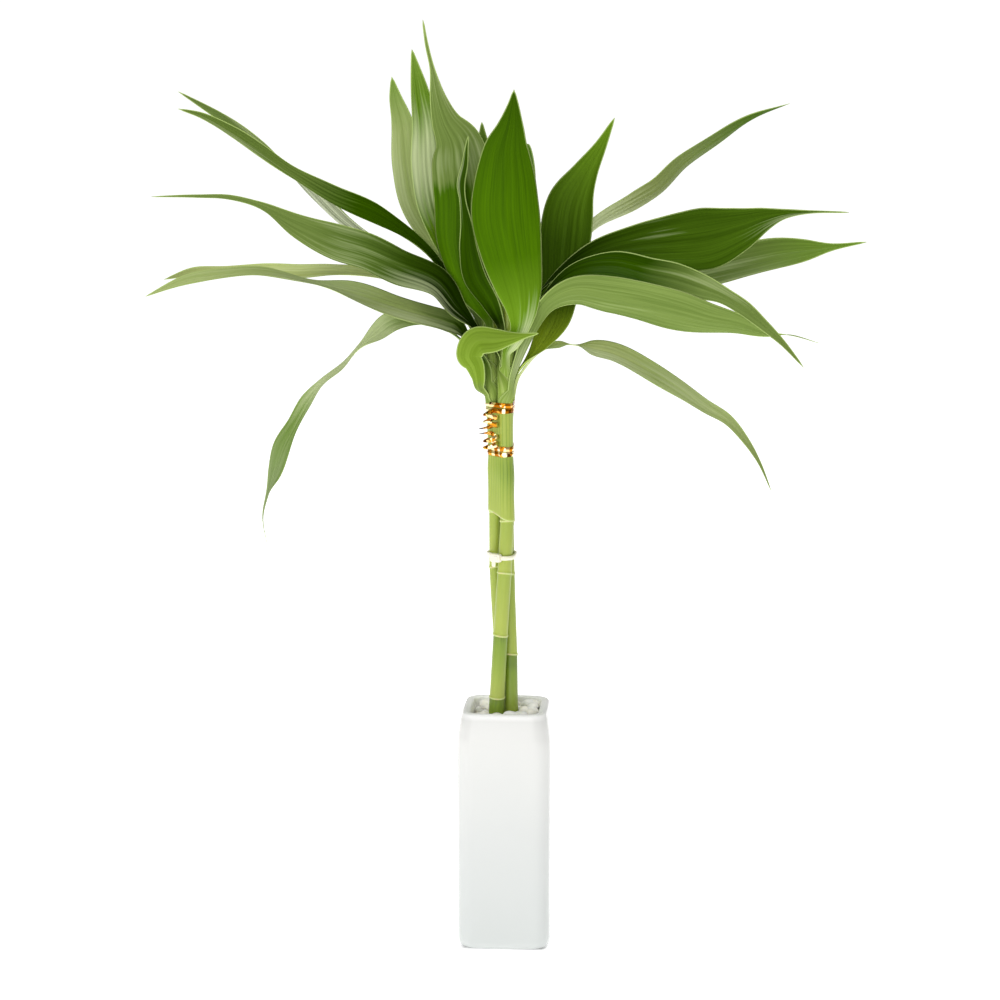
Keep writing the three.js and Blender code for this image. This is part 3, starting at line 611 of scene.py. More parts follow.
def bed_block():
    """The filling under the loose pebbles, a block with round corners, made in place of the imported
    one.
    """
    z = np.array([7.6, BED_TOP - 1, BED_TOP])[:, None]
    half = np.array([17.8, 17.8, 16.8])[:, None]
    return loft(rounded_square(half, 5.0, z, 0))


# %% [markdown]
# Each pebble has its own tint between cream and cool white, with faint clouds inside. Tumbling
# leaves a satin skin, not a gloss.

# %% Colour the pebbles
def tumbled_stone(tree):
    """White pebble: cream to cool white from stone to stone, with faint clouds inside."""
    tint = add(tree, "Attribute", attribute_name="tint")
    place = add(tree, "TexCoord")
    cloud = add(tree, "TexNoise", {"Vector": place.outputs["Object"], "Scale": 1 / (4 * MM),
                                   "Detail": 4})
    mixed = add(tree, "Math", {0: cloud.outputs[0], 1: 0.5, 2: tint.outputs["Fac"]},
                operation="MULTIPLY_ADD")
    tone = add(tree, "ValToRGB", {0: mixed.outputs[0]},
               stops=[(0.2, "#f4efe2"), (0.55, "#f8f6ee"), (0.8, "#fafaf7"), (1.0, "#f1f0ea")])
    # The pits that tumbling leaves are about 0.45 mm wide.
    pits = add(tree, "TexNoise", {"Vector": place.outputs["Object"], "Scale": 1 / (0.45 * MM),
                                  "Detail": 2})
    bump = add(tree, "Bump", {"Height": pits.outputs[0], "Strength": 0.2, "Distance": 0.3 * MM})
    return {"Base_Color": tone.outputs[0], "Normal": bump.outputs[0]}


white_pebble = finish("tumbled_white_pebble", tumbled_stone, Roughness=0.42, IOR=1.52,
                      Subsurface_Weight=0.15, Subsurface_Radius=(1.0, 0.9, 0.7),
                      Subsurface_Scale=0.002)
block = bed_block()
shape = together([block, *pebbles])
tints = np.concatenate([np.full(len(block[0]), 0.1), *tints])
piece("white_pebbles", shape, white_pebble, "stone_bed", tint=tints)
print("pebbles:", len(pebbles))

# %% [markdown]
# ## The zip tie
#
# A zip tie is moulded in one shot from nylon: a ribbed strap, and a head with a window that the
# strap is pulled through. The ribs are left out here. The strap lies as a tight loop round the
# bundle. Such a loop is the outline of the stalks seen from above, so each of its points is the
# farthest reach of any stalk in one direction.

# %% Shape the zip tie
TIE_GAP = 0.35
ZIP_HEIGHT = 215
ZIP_TURN = -38  # the head sits round to the front left
HEAD = (6.4, 3.0, 4.6)


def strap(z, section, steps=180, clearance=TIE_GAP, wander=0.0):
    """Carries a section, rows of (outward, upward), round the loop; wander waves it up and down."""
    points, out = loop_round(z, clearance, steps)
    outward, upward = section[:, 0], section[:, 1]
    rows = points[:, None] + out[:, None] * outward[None, :, None]
    share = np.linspace(0, 2 * np.pi, steps, endpoint=False)[:, None]
    rows[..., 2] = z + upward[None] + wander * np.sin(3 * share + 1)
    return loft(rows, joined=True)


def soft_box(size, middle, turn=0.0, power=0.28):
    """A block with rounded edges: half size times sign(c) |c|^power of a ball's directions."""
    a = np.linspace(0, 2 * np.pi, 48, endpoint=False)
    b = np.linspace(-np.pi / 2, np.pi / 2, 25)[1:-1, None]

    def swell(v):
        return np.sign(v) * np.abs(v) ** power

    half = np.array(size) / 2
    block = np.stack([half[0] * swell(np.cos(b)) * swell(np.cos(a)),
                      half[1] * swell(np.cos(b)) * swell(np.sin(a)),
                      half[2] * swell(np.sin(b)) * np.ones_like(a)], axis=-1)
    return loft(turned(block, turn) + middle)


def zip_parts():
    """Strap, head, the window's lip, and the stub of the tail under the head."""
    thick, tall = 1.1, 2.3
    section = np.array([[0, -tall / 2], [thick - 0.25, -tall / 2], [thick, -tall / 2 + 0.3],
                        [thick, tall / 2 - 0.3], [thick - 0.25, tall / 2], [0, tall / 2]])
    head_place = np.array([-5.6, -7.1, ZIP_HEIGHT])
    face = turned(np.array([[0.9, -HEAD[1] / 2 + 0.1, 0.0]]), ZIP_TURN)[0]
    return [
        strap(ZIP_HEIGHT, section),
        soft_box(HEAD, head_place, ZIP_TURN),
        soft_box((3.0, 0.7, 2.6), head_place + face, ZIP_TURN, 0.4),
        soft_box((2.2, 1.1, 3.4), (-6.7, -6.9, ZIP_HEIGHT - 3.2), ZIP_TURN, 0.35),
    ]


# %% [markdown]
# Natural nylon is cream and a little milky: some light enters it and comes out again nearby.

# %% Colour the zip tie
def moulded_nylon(tree):
    """Natural nylon, moulded: cream and a little milky, with a faint flow texture."""
    place = add(tree, "TexCoord")
    flow = add(tree, "TexNoise", {"Vector": place.outputs["Object"], "Scale": 1 / (1.1 * MM),
                                  "Detail": 2})
    tone = add(tree, "ValToRGB", {0: flow.outputs[0]}, stops=[(0.3, "#efe9cf"), (0.7, "#f6f2e0")])
    bump = add(tree, "Bump", {"Height": flow.outputs[0], "Strength": 0.1, "Distance": 0.3 * MM})
    return {"Base_Color": tone.outputs[0], "Normal": bump.outputs[0]}


nylon = finish("natural_nylon", moulded_nylon, Roughness=0.36, IOR=1.53, Subsurface_Weight=0.2,
               Subsurface_Radius=(1.0, 0.9, 0.6), Subsurface_Scale=0.0015)
points, quads, triangles = together(zip_parts())
piece("nylon_zip_tie", (turned(points, PLANT_TURN), quads, triangles), nylon, "zip_tie")

# %% [markdown]
# ## The gold twist ties
#
# A twist tie is a soft wire between two layers of foil-covered plastic. It lies twice round
# the bundle, and its ends are curled like a gift ribbon, so between the two ties a loose curl
# stands at the left. Each tie is made as two turns of a strip round the loop, and a thinner
# strip carried up a spiral.

# %% Shape the twist ties
STRIP = 2.9  # height of the strip
CURL_PLACE = (-7.5, -7.0)
CURL_RADIUS = 3.2
TIE_WRAPS = {"upper": (299.5, 295.0, 285.6), "lower": (275.9, 274.0, 283.0)}  # top, curl's ends


def strip_section(height, thickness):
    """A flat strip with the wire's low bead: thickness (0.7 + 0.3 e^-(3.2 s)^2 - 0.25 s^8)."""
    s = np.linspace(-1, 1, 15)
    outer = thickness * (0.7 + 0.3 * np.exp(-((3.2 * s) ** 2)) - 0.25 * s**8)
    return np.concatenate([np.stack([outer, s * height / 2], axis=-1),
                           np.stack([0 * s, -s * height / 2], axis=-1)[1:-1]])


def curl(low, high, turns=2.36, steps=170):
    """A loose spiral with a point at the left of every turn, and a free end.

    The radius is r (0.92 + 0.55 c^8), with c the cosine of the angle from the left, if positive,
    and the free end runs out by up to 2.6 mm more.
    """
    t = np.linspace(0, 1, steps)
    angle = math.radians(50) + t * turns * 2 * np.pi
    out = np.stack([np.cos(angle), np.sin(angle), 0 * angle], axis=-1)
    left = np.clip(-np.cos(angle - 0.25), 0, 1)
    tail = 2.6 * np.clip((t - 0.93) / 0.07, 0, 1) ** 1.2
    reach = CURL_RADIUS * (0.92 + 0.55 * left**8) + tail
    middle = np.array([*CURL_PLACE, 0]) + reach[:, None] * out
    middle[:, 2] = low + (high - low) * t + 0.35 * np.sin(2 * angle + low)
    width = 1.3 * (1 - 0.75 * np.clip((t - 0.9) / 0.1, 0, 1)) * (1 - 0.6 * left**4)
    lean = 0.55 * np.sin(1.3 * angle + low)
    section = np.array([[-0.16, -1], [0.16, -1], [0.3, 0], [0.16, 1], [-0.16, 1], [-0.3, 0]])
    rows = middle[:, None] + out[:, None] * (section[None, :, :1] + lean[:, None, None]
                                             * section[None, :, 1:] * 0.6)
    rows[..., 2] += section[None, :, 1] * width[:, None]
    return loft(rows)


# %% [markdown]
# The foil is a metal with a gold tint. It is so creased that the real one mirrors dark and
# bright parts of the room in turn. This room is plain, so the brown and the near white of those
# reflections are painted in the metal's colour, crease by crease. They don't change with light.

# %% Colour the twist ties
def creased_foil(tree):
    """Metallised film over a wire: gold, with upright creases painted dark and light."""
    place = add(tree, "TexCoord")
    # A crease is about 2.2 mm wide and runs the whole height of the strip.
    tall = add(tree, "Mapping", {"Vector": place.outputs["Object"],
                                 "Scale": (1 / (2.2 * MM), 1 / (2.2 * MM), 1 / (5 * MM))})
    crease = add(tree, "TexVoronoi", {"Vector": tall.outputs[0], "Scale": 1})
    tone = add(tree, "ValToRGB", {0: crease.outputs["Color"]},
               stops=[(0.22, "#4e2600"), (0.34, "#b86c08"), (0.58, "#efac34"), (0.8, "#fff0c0")])
    bump = add(tree, "Bump", {"Height": crease.outputs["Distance"], "Strength": 0.5,
                              "Distance": 0.4 * MM})
    return {"Base_Color": tone.outputs[0], "Normal": bump.outputs[0]}


foil = finish("gold_foil_twist_tie", creased_foil, Metallic=1.0, Roughness=0.16)
for place, (top, low, high) in TIE_WRAPS.items():
    section = strip_section(STRIP - 0.15, 0.75)
    wraps = [strap(top - STRIP / 2, section, wander=0.12),
             strap(top - 1.5 * STRIP, section, wander=-0.12), curl(low, high)]
    points, quads, triangles = together(wraps)
    piece(f"twist_tie_{place}", (turned(points, PLANT_TURN), quads, triangles), foil,
          f"gold_tie_{place}")

# %% [markdown]
# ## The leaves
#
# Twenty-four leaves make the crown. A leaf starts as a sheath that is rolled round its stalk,
# opens at its foot into a stiff clasp, and then arches out as a long blade. The table gives
# each leaf its stalk, the side and height of its foot, and the rib's stations: x, y, height,
# width and roll about the rib. The stations were set over the picture, and the CAD
# leaves have the same ones. greens names a leaf's base, upper side, underside and tip, fades
# says where the base ends and the tip begins and is complete, and the list of pale spots gives
# its painted sheen.
# A cloth simulation would droop the leaves without control, so each follows a smooth curve.

# %% The table of leaves
LEAVES = {
    "leaf_left_high_near": dict(
        stalk="left", side=210, height=323.5,
        greens="shade deep moss moss", fades=(0.35, 0.5, 0.66), gloss=0,
        painted_sheen=[(0.85, -1, 0.15, 0.4)],
        rows=[
            [-22, 3, 347.5, 10, 88], [-40, 4, 376.5, 16, 82], [-68, 4, 397.5, 26, 74],
            [-93, 3, 408.5, 24, 74], [-114, 2, 421.8, 13, 66], [-129, 1, 432.5, 11, 62],
            [-144, 0, 442.5, 9, 55], [-160, 0, 451.5, 5, 50], [-173, 0, 455.5, 1, 50],
        ],
    ),
    "leaf_left_high_far": dict(
        stalk="left", side=122, height=324.5,
        greens="moss moss striped moss", fades=(0.2, 0.6, 0.8),
        painted_sheen=[(0.8, 1, 0.1, 0.4)],
        rows=[
            [-20, 14, 347.5, 10, 85], [-41, 20, 359.5, 13, 100], [-65, 25, 376.5, 19, 112],
            [-89, 29, 392.5, 21, 116], [-111, 31, 414.5, 17, 112], [-131, 33, 430.5, 13, 75],
            [-150, 35, 445.5, 9, 60], [-176, 37, 461.5, 1, 60],
        ],
    ),
    "leaf_left_broad": dict(
        stalk="front", side=200, height=317.5,
        greens="shade leafy grey soft", fades=(0.45, 0.34, 0.6), gloss=0.01,
        painted_sheen=[(0.3, -1, 0.14, 0.6), (0.5, 0, 0.12, 0.3)],
        rows=[
            [-19.3, -10.2, 343.4, 10, 70], [-27.1, -14, 352.1, 17.5, 56],
            [-37.6, -17, 364.8, 28, 62], [-57, -22, 373.5, 32, 62], [-74, -28, 381.5, 33, 62],
            [-91, -33, 387.5, 33, 62], [-110, -38, 397.5, 22, 66], [-128, -43, 408.5, 11, 80],
            [-144, -46, 413.5, 7, 72], [-160, -48, 414.5, 4, 70], [-183, -50, 414.5, 1, 70],
        ],
    ),
    "leaf_left_low_near": dict(
        stalk="left", side=240, height=310.5,
        greens="leafy pale pale pale", fades=(0.3, 0.6, 1.0), gloss=0.02,
        painted_sheen=[(0.3, -1, 0.2, 0.7), (0.55, 0, 0.16, 0.7)],
        rows=[
            [-26.1, -9.5, 340.2, 13, 58], [-32, -13, 343.6, 15, 50], [-40.3, -18, 347, 16.5, 55],
            [-57, -28, 353.5, 18, 60], [-80, -38, 362.5, 18, 64], [-101, -46, 369.5, 12, 86],
            [-126, -54, 375.5, 11, 74], [-145, -60, 375.5, 11, 66], [-163, -64, 373.5, 9, 60],
            [-185, -70, 365.5, 1, 60],
        ],
    ),
    "leaf_left_low_far": dict(
        stalk="left", side=150, height=314.5,
        greens="soft light light olive", fades=(0.25, 0.7, 1.0),
        painted_sheen=[(0.5, 0, 0.3, 0.4)],
        rows=[
            [-22, 5, 342.5, 9, 92], [-37, 8, 356, 11, 92], [-62, 14, 364, 16, 80],
            [-94, 22, 366.5, 15, 70], [-114, 26, 365.5, 13, 66], [-133, 30, 366, 10, 62],
            [-152, 33, 366, 8, 72], [-170, 36, 364, 8, 62], [-186, 40, 359.5, 1, 60],
        ],
    ),
    "leaf_left_drooping": dict(
        stalk="left", side=142, height=302.5,
        greens="sage sage grey grey", fades=(0.2, 0.6, 1.0),
        painted_sheen=[(0.46, 0, 0.18, 1.3)],
        rows=[
            [-17, 1, 322.5, 8, 88], [-27, 0, 334.5, 9, 88], [-43, -1, 342.5, 13, 80],
            [-59, 0, 341.5, 20, 66], [-68, 0, 335.5, 20, 66], [-79, 0, 327.5, 12, 82],
            [-87, 0, 318.5, 12, 80], [-98, 0, 309.5, 11, 80], [-106, 0, 298.5, 16, 68],
            [-113, 0, 286.5, 17, 65], [-120, 0, 273.5, 19, 58], [-124, 0, 260.5, 15, 62],
            [-128, 0, 248.5, 8, 80], [-131, 0, 235.5, 4, 80], [-129, 0, 220.5, 1, 80],
        ],
    ),
    "leaf_top_outer": dict(
        stalk="left", side=118, height=338,
        greens="soft pale pale sage", fades=(0.3, 0.8, 1.0),
        painted_sheen=[(0.6, -1, 0.2, 0.5), (0.35, 1, 0.15, 0.4)],
        rows=[
            [-17, 10, 352.5, 9, 40], [-34, 17, 377.5, 12, 30], [-48.5, 19, 401.5, 17, 18],
            [-53, 21, 422.5, 16, 10], [-55.5, 22, 446.5, 12, 5], [-59, 23, 459.5, 7, 0],
            [-61, 24, 470.5, 1, 0],
        ],
    ),
    "leaf_top_pleated": dict(
        stalk="left", side=192, height=339.5,
        greens="sage spring spring sage", fades=(0.3, 0.7, 1.0), pleat=0.3,
        painted_sheen=[(0.6, 0, 0.2, 0.9)],
        rows=[
            [-15.5, 3, 353.5, 8, 55], [-28, 9, 373.5, 12, 40], [-38.5, 12, 400.5, 19, 22],
            [-42, 14, 423.5, 18, 12], [-43, 15, 445.5, 15, 8], [-46, 16, 463.5, 10, 4],
            [-50, 17, 485.5, 1, 0],
        ],
    ),
    "leaf_top_tallest": dict(
        stalk="left", side=265, height=334.5,
        # The paler tip, which starts at a sharp line, is a painted reflection.
        greens="vivid vivid vivid soft", fades=(0.2, 0.47, 0.5),
        painted_sheen=[(0.56, 0, 0.08, 0.3), (0.8, 0, 0.15, 0.2)],
        rows=[
            [-12, -4, 349.5, 11, 168], [-17, -4, 359.5, 18, 175], [-22, -2.5, 383.5, 30, 178],
            [-22, -0.5, 407.5, 33, 180], [-24, 2, 425.5, 32, 180], [-26, 4, 437.5, 26, 180],
            [-32, 6, 448.5, 16, 180], [-36, 7, 460.5, 9, 180], [-39, 8, 475.5, 3, 180],
            [-42, 9, 488.5, 2, 180], [-44, 10, 501.5, 1, 180],
        ],
    ),
    "leaf_young_folded": dict(
        stalk="front", side=230, height=331.5,
        greens="shade deep deep leafy", fades=(0.2, 0.7, 1.0), gloss=0.02,
        painted_sheen=[(0.8, 1, 0.15, 0.5)],
        rows=[
            [-8.5, -9, 352.5, 11, 155], [-17, -9, 366.5, 14, 160], [-20, -8, 380.5, 11, 160],
            [-21, -7, 394.5, 7, 165], [-23, -6, 407.5, 4, 165], [-24, -5, 416.5, 5, 165],
            [-22, -4.5, 426.5, 4, 165], [-21, -4, 434.5, 2.5, 165], [-20, -3.5, 441.5, 1, 165],
        ],
    ),
    "leaf_centre_broad": dict(
        stalk="front", side=265, height=319.5,
        greens="spring vivid vivid deep", fades=(0.42, 0.6, 1.1), gloss=0.03,
        painted_sheen=[(0.1, -1, 0.14, 0.75)],
        rows=[
            [2, -13.5, 331.5, 9, 180], [6.5, -17, 339.5, 10, 180], [8, -18.5, 349.5, 17, 180],
            [7, -19.5, 361.5, 25, 180], [2.5, -20.5, 382.5, 33, 180], [-0.5, -21.5, 401.5, 37, 180],
            [-0.5, -22, 419.5, 33, 180], [0, -22.5, 436.5, 24, 180], [2, -23, 447.5, 15, 180],
            [3.5, -23, 458.5, 7, 180], [4, -23, 467.5, 1, 180],
        ],
    ),
    "leaf_top_hidden": dict(
        stalk="right", side=166, height=339.5,
        greens="deep vivid sage sage", fades=(0.3, 0.7, 1.0),
        rows=[
            [-2, 15, 356.5, 10, 5], [-6, 17, 375.5, 17, 5], [-9, 20, 405.5, 18, 0],
            [-12, 22, 429.5, 9, 0], [-13, 23, 446.5, 1, 0],
        ],
    ),
    "leaf_right_upright": dict(
        stalk="front", side=30, height=304.5,
        # Its bright base is painted light, where the foot lies in shade.
        greens="bright leafy sage spring", fades=(0.36, 0.55, 1.0), gloss=0.02,
        rows=[
            [9, -2, 318.5, 8, -92], [18, 0, 329, 14, -62], [26, 6, 342.5, 23, -42],
            [30, 13, 362.5, 26, -28], [32, 19, 384.5, 29, -18], [35, 23, 403.5, 26, -15],
            [42.5, 24, 419.5, 15, -12], [50.5, 25, 433.5, 7, -12], [58, 26, 448.5, 1, -12],
        ],
    ),
    "leaf_right_high": dict(
        stalk="right", side=10, height=332.5,
        greens="pale olive olive leafy", fades=(0.4, 0.5, 0.9),
        painted_sheen=[(0.3, 0, 0.22, 0.9)],
        rows=[
            [16, 21, 352.5, 8, -80], [28, 30, 366.5, 11, -98], [49, 31, 390.5, 20, -116],
            [70, 32, 402.5, 22, -120], [83, 34, 410, 22, -120], [96, 36, 423, 21, -120],
            [115, 39, 436.5, 15, -118], [134, 42, 447.5, 9, -115], [153, 45, 454.5, 1, -110],
        ],
    ),
    "leaf_right_broad": dict(
        stalk="front", side=40, height=331.5,
        greens="shade leafy moss leafy", fades=(0.55, 0.7, 1.1), gloss=0.01,
        painted_sheen=[(0.5, -1, 0.09, 0.27), (0.85, 1, 0.12, 0.4)],
        rows=[
            [12, -1, 350.5, 10, -95], [27, 2, 366, 14, -80], [48, 3, 377, 21, -55],
            [69, 3, 381.5, 28, -42], [89, 2, 383.5, 34, -34], [107, 0, 386, 36, -30],
            [124, -2, 391.5, 26, -32], [137, -4, 397, 15, -35], [147, -5, 400, 7, -40],
            [161, -6, 401.5, 2.5, -50], [181, -7, 401.5, 1, -50],
        ],
    ),
    "leaf_right_far": dict(
        stalk="right", side=15, height=312.5,
        greens="moss soft moss spring", fades=(0.2, 0.7, 1.0),
        painted_sheen=[(0.6, 0, 0.2, 0.3)],
        rows=[
            [14, 16, 336.5, 9, -75], [33, 27, 350.5, 12, -70], [61, 29, 355.5, 20, -62],
            [88, 31, 361.5, 24, -50], [112, 34, 366.5, 25, -45], [132, 36, 370.5, 23, -42],
            [147, 38, 373.5, 20, -40], [162, 40, 375.5, 14, -40], [178, 42, 377, 5, -45],
            [196, 44, 379.5, 1, -45],
        ],
    ),
    "leaf_right_arching": dict(
        stalk="front", side=-5, height=319.5,
        greens="shade deep moss soft", fades=(0.45, 0.48, 0.65), gloss=0.01,
        painted_sheen=[(0.7, -1, 0.15, 0.3)],
        rows=[
            [13, -7, 344.5, 9, -115], [21, -11, 358.5, 12, -95], [36, -13, 371, 15, -68],
            [55, -18, 374.5, 20, -52], [75, -26, 371, 20, -45], [88, -30, 368.5, 21, -43],
            [100, -33.5, 365, 18.5, -42], [113, -41, 361, 12, -43], [123, -48.5, 355.8, 10.5, -45],
            [132, -54, 349, 8, -48], [142, -62, 340.5, 5, -50], [153, -69, 328.5, 1, -50],
        ],
    ),
    "leaf_right_pale": dict(
        stalk="front", side=-44, height=306.5,
        greens="soft moss soft soft", fades=(0.1, 0.6, 1.0),
        painted_sheen=[(0.08, 0, 0.1, 0.5), (0.5, -1, 0.3, 0.2)],
        rows=[
            [14, -10, 339.5, 9, -148], [22.5, -14.5, 353.5, 12, -148], [36, -22, 360.5, 20, -145],
            [54, -29, 359, 28, -143], [70.5, -33, 356.5, 30, -142], [89, -37.5, 352.5, 29, -142],
            [105, -41, 348.8, 23, -142], [122, -42, 346, 15, -143], [136, -43, 342, 5, -140],
            [148, -44, 341.5, 4, -90], [163, -45, 337.5, 1, -90],
        ],
    ),
    "leaf_right_drooping": dict(
        stalk="right", side=-25, height=301.5,
        greens="light pale pale soft", fades=(0.5, 0.75, 1.0),
        painted_sheen=[(0.25, 1, 0.25, 1.1), (0.6, 0, 0.2, 0.4)],
        rows=[
            [9, 5, 314.5, 8, -95], [18, 7, 324.5, 9, -100], [28, 8, 328.5, 9, -75],
            [36, 8, 328.5, 7, -98], [46, 8, 326.5, 14, -60], [58, 8, 323.5, 16, -55],
            [76, 8, 314.5, 15, -55], [93, 7, 304.5, 14, -55], [107, 7, 294.5, 12, -55],
            [119, 6, 287.5, 9, -55], [129, 6, 276.5, 6, -55], [136, 5, 265.5, 3.5, -55],
            [143, 5, 249.5, 1, -60],
        ],
    ),
    "leaf_front_folded": dict(
        stalk="left", side=212, height=300.5, grip=2,
        greens="soft sage fold fold", fades=(0.2, 0.5, 1.0),
        rows=[
            [-14.5, -5, 307, 6, 150], [-15.3, -8.5, 313.1, 8.5, 155],
            [-16.8, -11.5, 319.5, 11, 160], [-19.8, -15, 326.3, 14, 165],
            [-15.8, -18, 334.2, 15.5, 168], [-5.9, -20.5, 335.5, 12.7, 168],
            [3, -22, 336.8, 7, 168], [10, -23, 338.2, 3.2, 168], [17, -23.7, 339.5, 1, 168],
        ],
    ),
    "leaf_back_upright": dict(
        stalk="right", side=90, height=335, arches="back",
        greens="deep vivid moss moss", fades=(0.3, 0.6, 1.0),
        rows=[
            [4, 21, 361.5, 12, -5], [4, 33, 392.5, 22, 0], [3, 52, 416.5, 26, 0],
            [2, 77, 427.5, 22, 0], [1, 102, 422.5, 13, 0], [0, 127, 402.5, 1, 0],
        ],
    ),
    "leaf_back_left": dict(
        stalk="left", side=50, height=318.5, arches="back",
        greens="deep vivid moss moss", fades=(0.3, 0.6, 1.0),
        rows=[
            [-8, 16, 344.5, 11, 5], [-15, 32, 373.5, 20, 20], [-20, 57, 391.5, 25, 20],
            [-26, 83, 395.5, 22, 20], [-31, 109, 385.5, 12, 20], [-35, 131, 365.5, 1, 20],
        ],
    ),
    "leaf_back_right": dict(
        stalk="right", side=75, height=322.5, arches="back",
        greens="bright spring moss moss", fades=(0.3, 0.6, 1.0),
        rows=[
            [4, 24, 346.5, 12, -10], [9, 42, 367.5, 20, -20], [17, 66, 379.5, 24, -25],
            [24, 92, 376.5, 20, -25], [29, 113, 363.5, 11, -25], [33, 131, 345.5, 1, -25],
        ],
    ),
    "leaf_back_low": dict(
        stalk="right", side=100, height=307.5, arches="back",
        # Its bright greens are painted light, since the leaf lies in shade.
        greens="bright bright moss moss", fades=(0.3, 0.6, 1.0),
        rows=[
            [2, 22, 331.5, 11, 0], [1, 40, 345.5, 18, 0], [1, 66, 352.5, 23, 0],
            [0, 92, 350.5, 20, 0], [-1, 114, 342.5, 11, 0], [-2, 132, 328.5, 1, 0],
        ],
    ),
}

# %% [markdown]
# The blade is not flat. Parallel veins pleat it lengthwise, the middle is creased, and the
# margins wave a little, because the edge of a leaf grows faster than its middle. These forms
# are added along the blade's normal, and they fade out towards the foot and the tip.

# %% Lay out a leaf's blade
CLASP_WIDTH = 5
CLASP_OFFSET = 0.75  # how far the middle of a clasp's thickness is off its stalk
LOOSER = 0.5  # how much further off it is at the clasp's top
BEND = 32  # degrees that a blade is bent across its width
THICKNESS = 0.46
SHEATH = 26  # how far a sheath reaches down from its leaf's foot
LONG_SHEATHS = {
    "leaf_right_upright": 234.8, "leaf_front_folded": 239.3, "leaf_right_drooping": 230.8,
}
UNDER_TIES = 0.13  # how far a sheath stands off its stalk where the ties hold it
ROWS_PER_STATION, ACROSS = 9, 29
PLEATS, PLEAT_DEPTH, CREASE_DEPTH, MARGIN_WAVE = 7, 0.08, 0.35, 0.75


def unit(v):
    """Each vector divided by its length."""
    return v / np.linalg.norm(v, axis=-1, keepdims=True)


def blade_frame(stalk, side, height, rows, grip=7, arches="aside"):
    """Rib, across and upper directions, width and bend of a leaf from its foot to its tip.

    upper starts as the direction the viewer looks from, made square to the rib, and is turned
    by the roll: u cos r + (rib x u) sin r. across is rib x upper.
    """
    middle, radius = stalk_at(stalk, np.array([height, height + grip], float))
    turn = math.radians(side)
    outward = np.array([math.cos(turn), math.sin(turn), 0])
    reach = radius + CLASP_OFFSET + np.array([0, LOOSER])
    ribs = np.vstack([middle + reach[:, None] * outward, [row[:3] for row in rows]])
    clasps = [[CLASP_WIDTH, side - 90, math.degrees(CLASP_WIDTH / r)] for r in reach]
    forms = [[width, roll, BEND * (1.6 if i == 0 else 1)] for i, (*_, width, roll) in enumerate(rows)]
    share = np.linspace(0, 1, ROWS_PER_STATION * (len(ribs) - 1) + 1)
    rib = curve(ribs, share, centripetal=True)
    width, roll, bend = curve(clasps + forms, share).T
    along = unit(np.gradient(rib, axis=0))
    seen = np.array([0, -0.35, 0.94] if arches == "back" else [0, -1, 0])
    facing = unit(seen - (along @ seen)[:, None] * along)
    roll, bend = np.radians(roll)[:, None], np.radians(np.maximum(bend, 1))
    upper = facing * np.cos(roll) + np.cross(along, facing) * np.sin(roll)
    return rib, np.cross(along, upper), upper, np.maximum(width, 0.3), bend


# %% [markdown]
# Below its foot a leaf is a sheath that is rolled almost shut round the stalk. It stands off
# the stalk by very little where the ties hold it, and by more where it opens into the clasp.
# The sheaths of neighbouring leaves cross each other inside the bundle, where little shows.

# %% Roll the sheath
def sheath_rows(name, stalk, side, height, **_):
    """Middle, direction and bend of the sheath's rows, from its bottom to just below the foot."""
    bottom = LONG_SHEATHS.get(name, height - SHEATH)
    z = np.concatenate([np.linspace(bottom, height - 14, 14),
                        np.linspace(height - 13, height - 0.8, 14)])
    middle, radius = stalk_at(stalk, z)
    up = np.clip((z - height + 14) / 14, 0, 1)
    ease = up**2 * (3 - 2 * up)
    offset = UNDER_TIES + (CLASP_OFFSET - UNDER_TIES) * ease
    full = math.degrees(CLASP_WIDTH / (radius[-1] + CLASP_OFFSET))
    bend = np.radians(346 + (full - 346) * up**1.4)
    turn = math.radians(side)
    outward = np.array([math.cos(turn), math.sin(turn), 0])
    return middle + (radius + offset)[:, None] * outward, radius + offset, bend


# %% [markdown]
# The waxy blades in the picture have pale patches of sheen. They are painted here at set places
# along each leaf, so they stay with the leaf and don't move with the light.

# %% Shape a leaf
def shine_share(painted_sheen, place, s):
    """Share of the skin painted pale: the strongest of a leaf's (place, lean, reach, strength).

    Each falls off as exp(-((along - place) / reach)^2). lean is the margin it keeps to, -1 or 1,
    or 0 for the whole width.
    """
    share = np.zeros(np.broadcast_shapes(place.shape, s.shape))
    for at, lean, reach, strength in painted_sheen:
        half = np.clip(0.5 + 1.3 * lean * s + 0.5 * (1 - abs(lean)), 0, 1)
        share = np.maximum(share, strength * half * np.exp(-(((place - at) / reach) ** 2)))
    return share


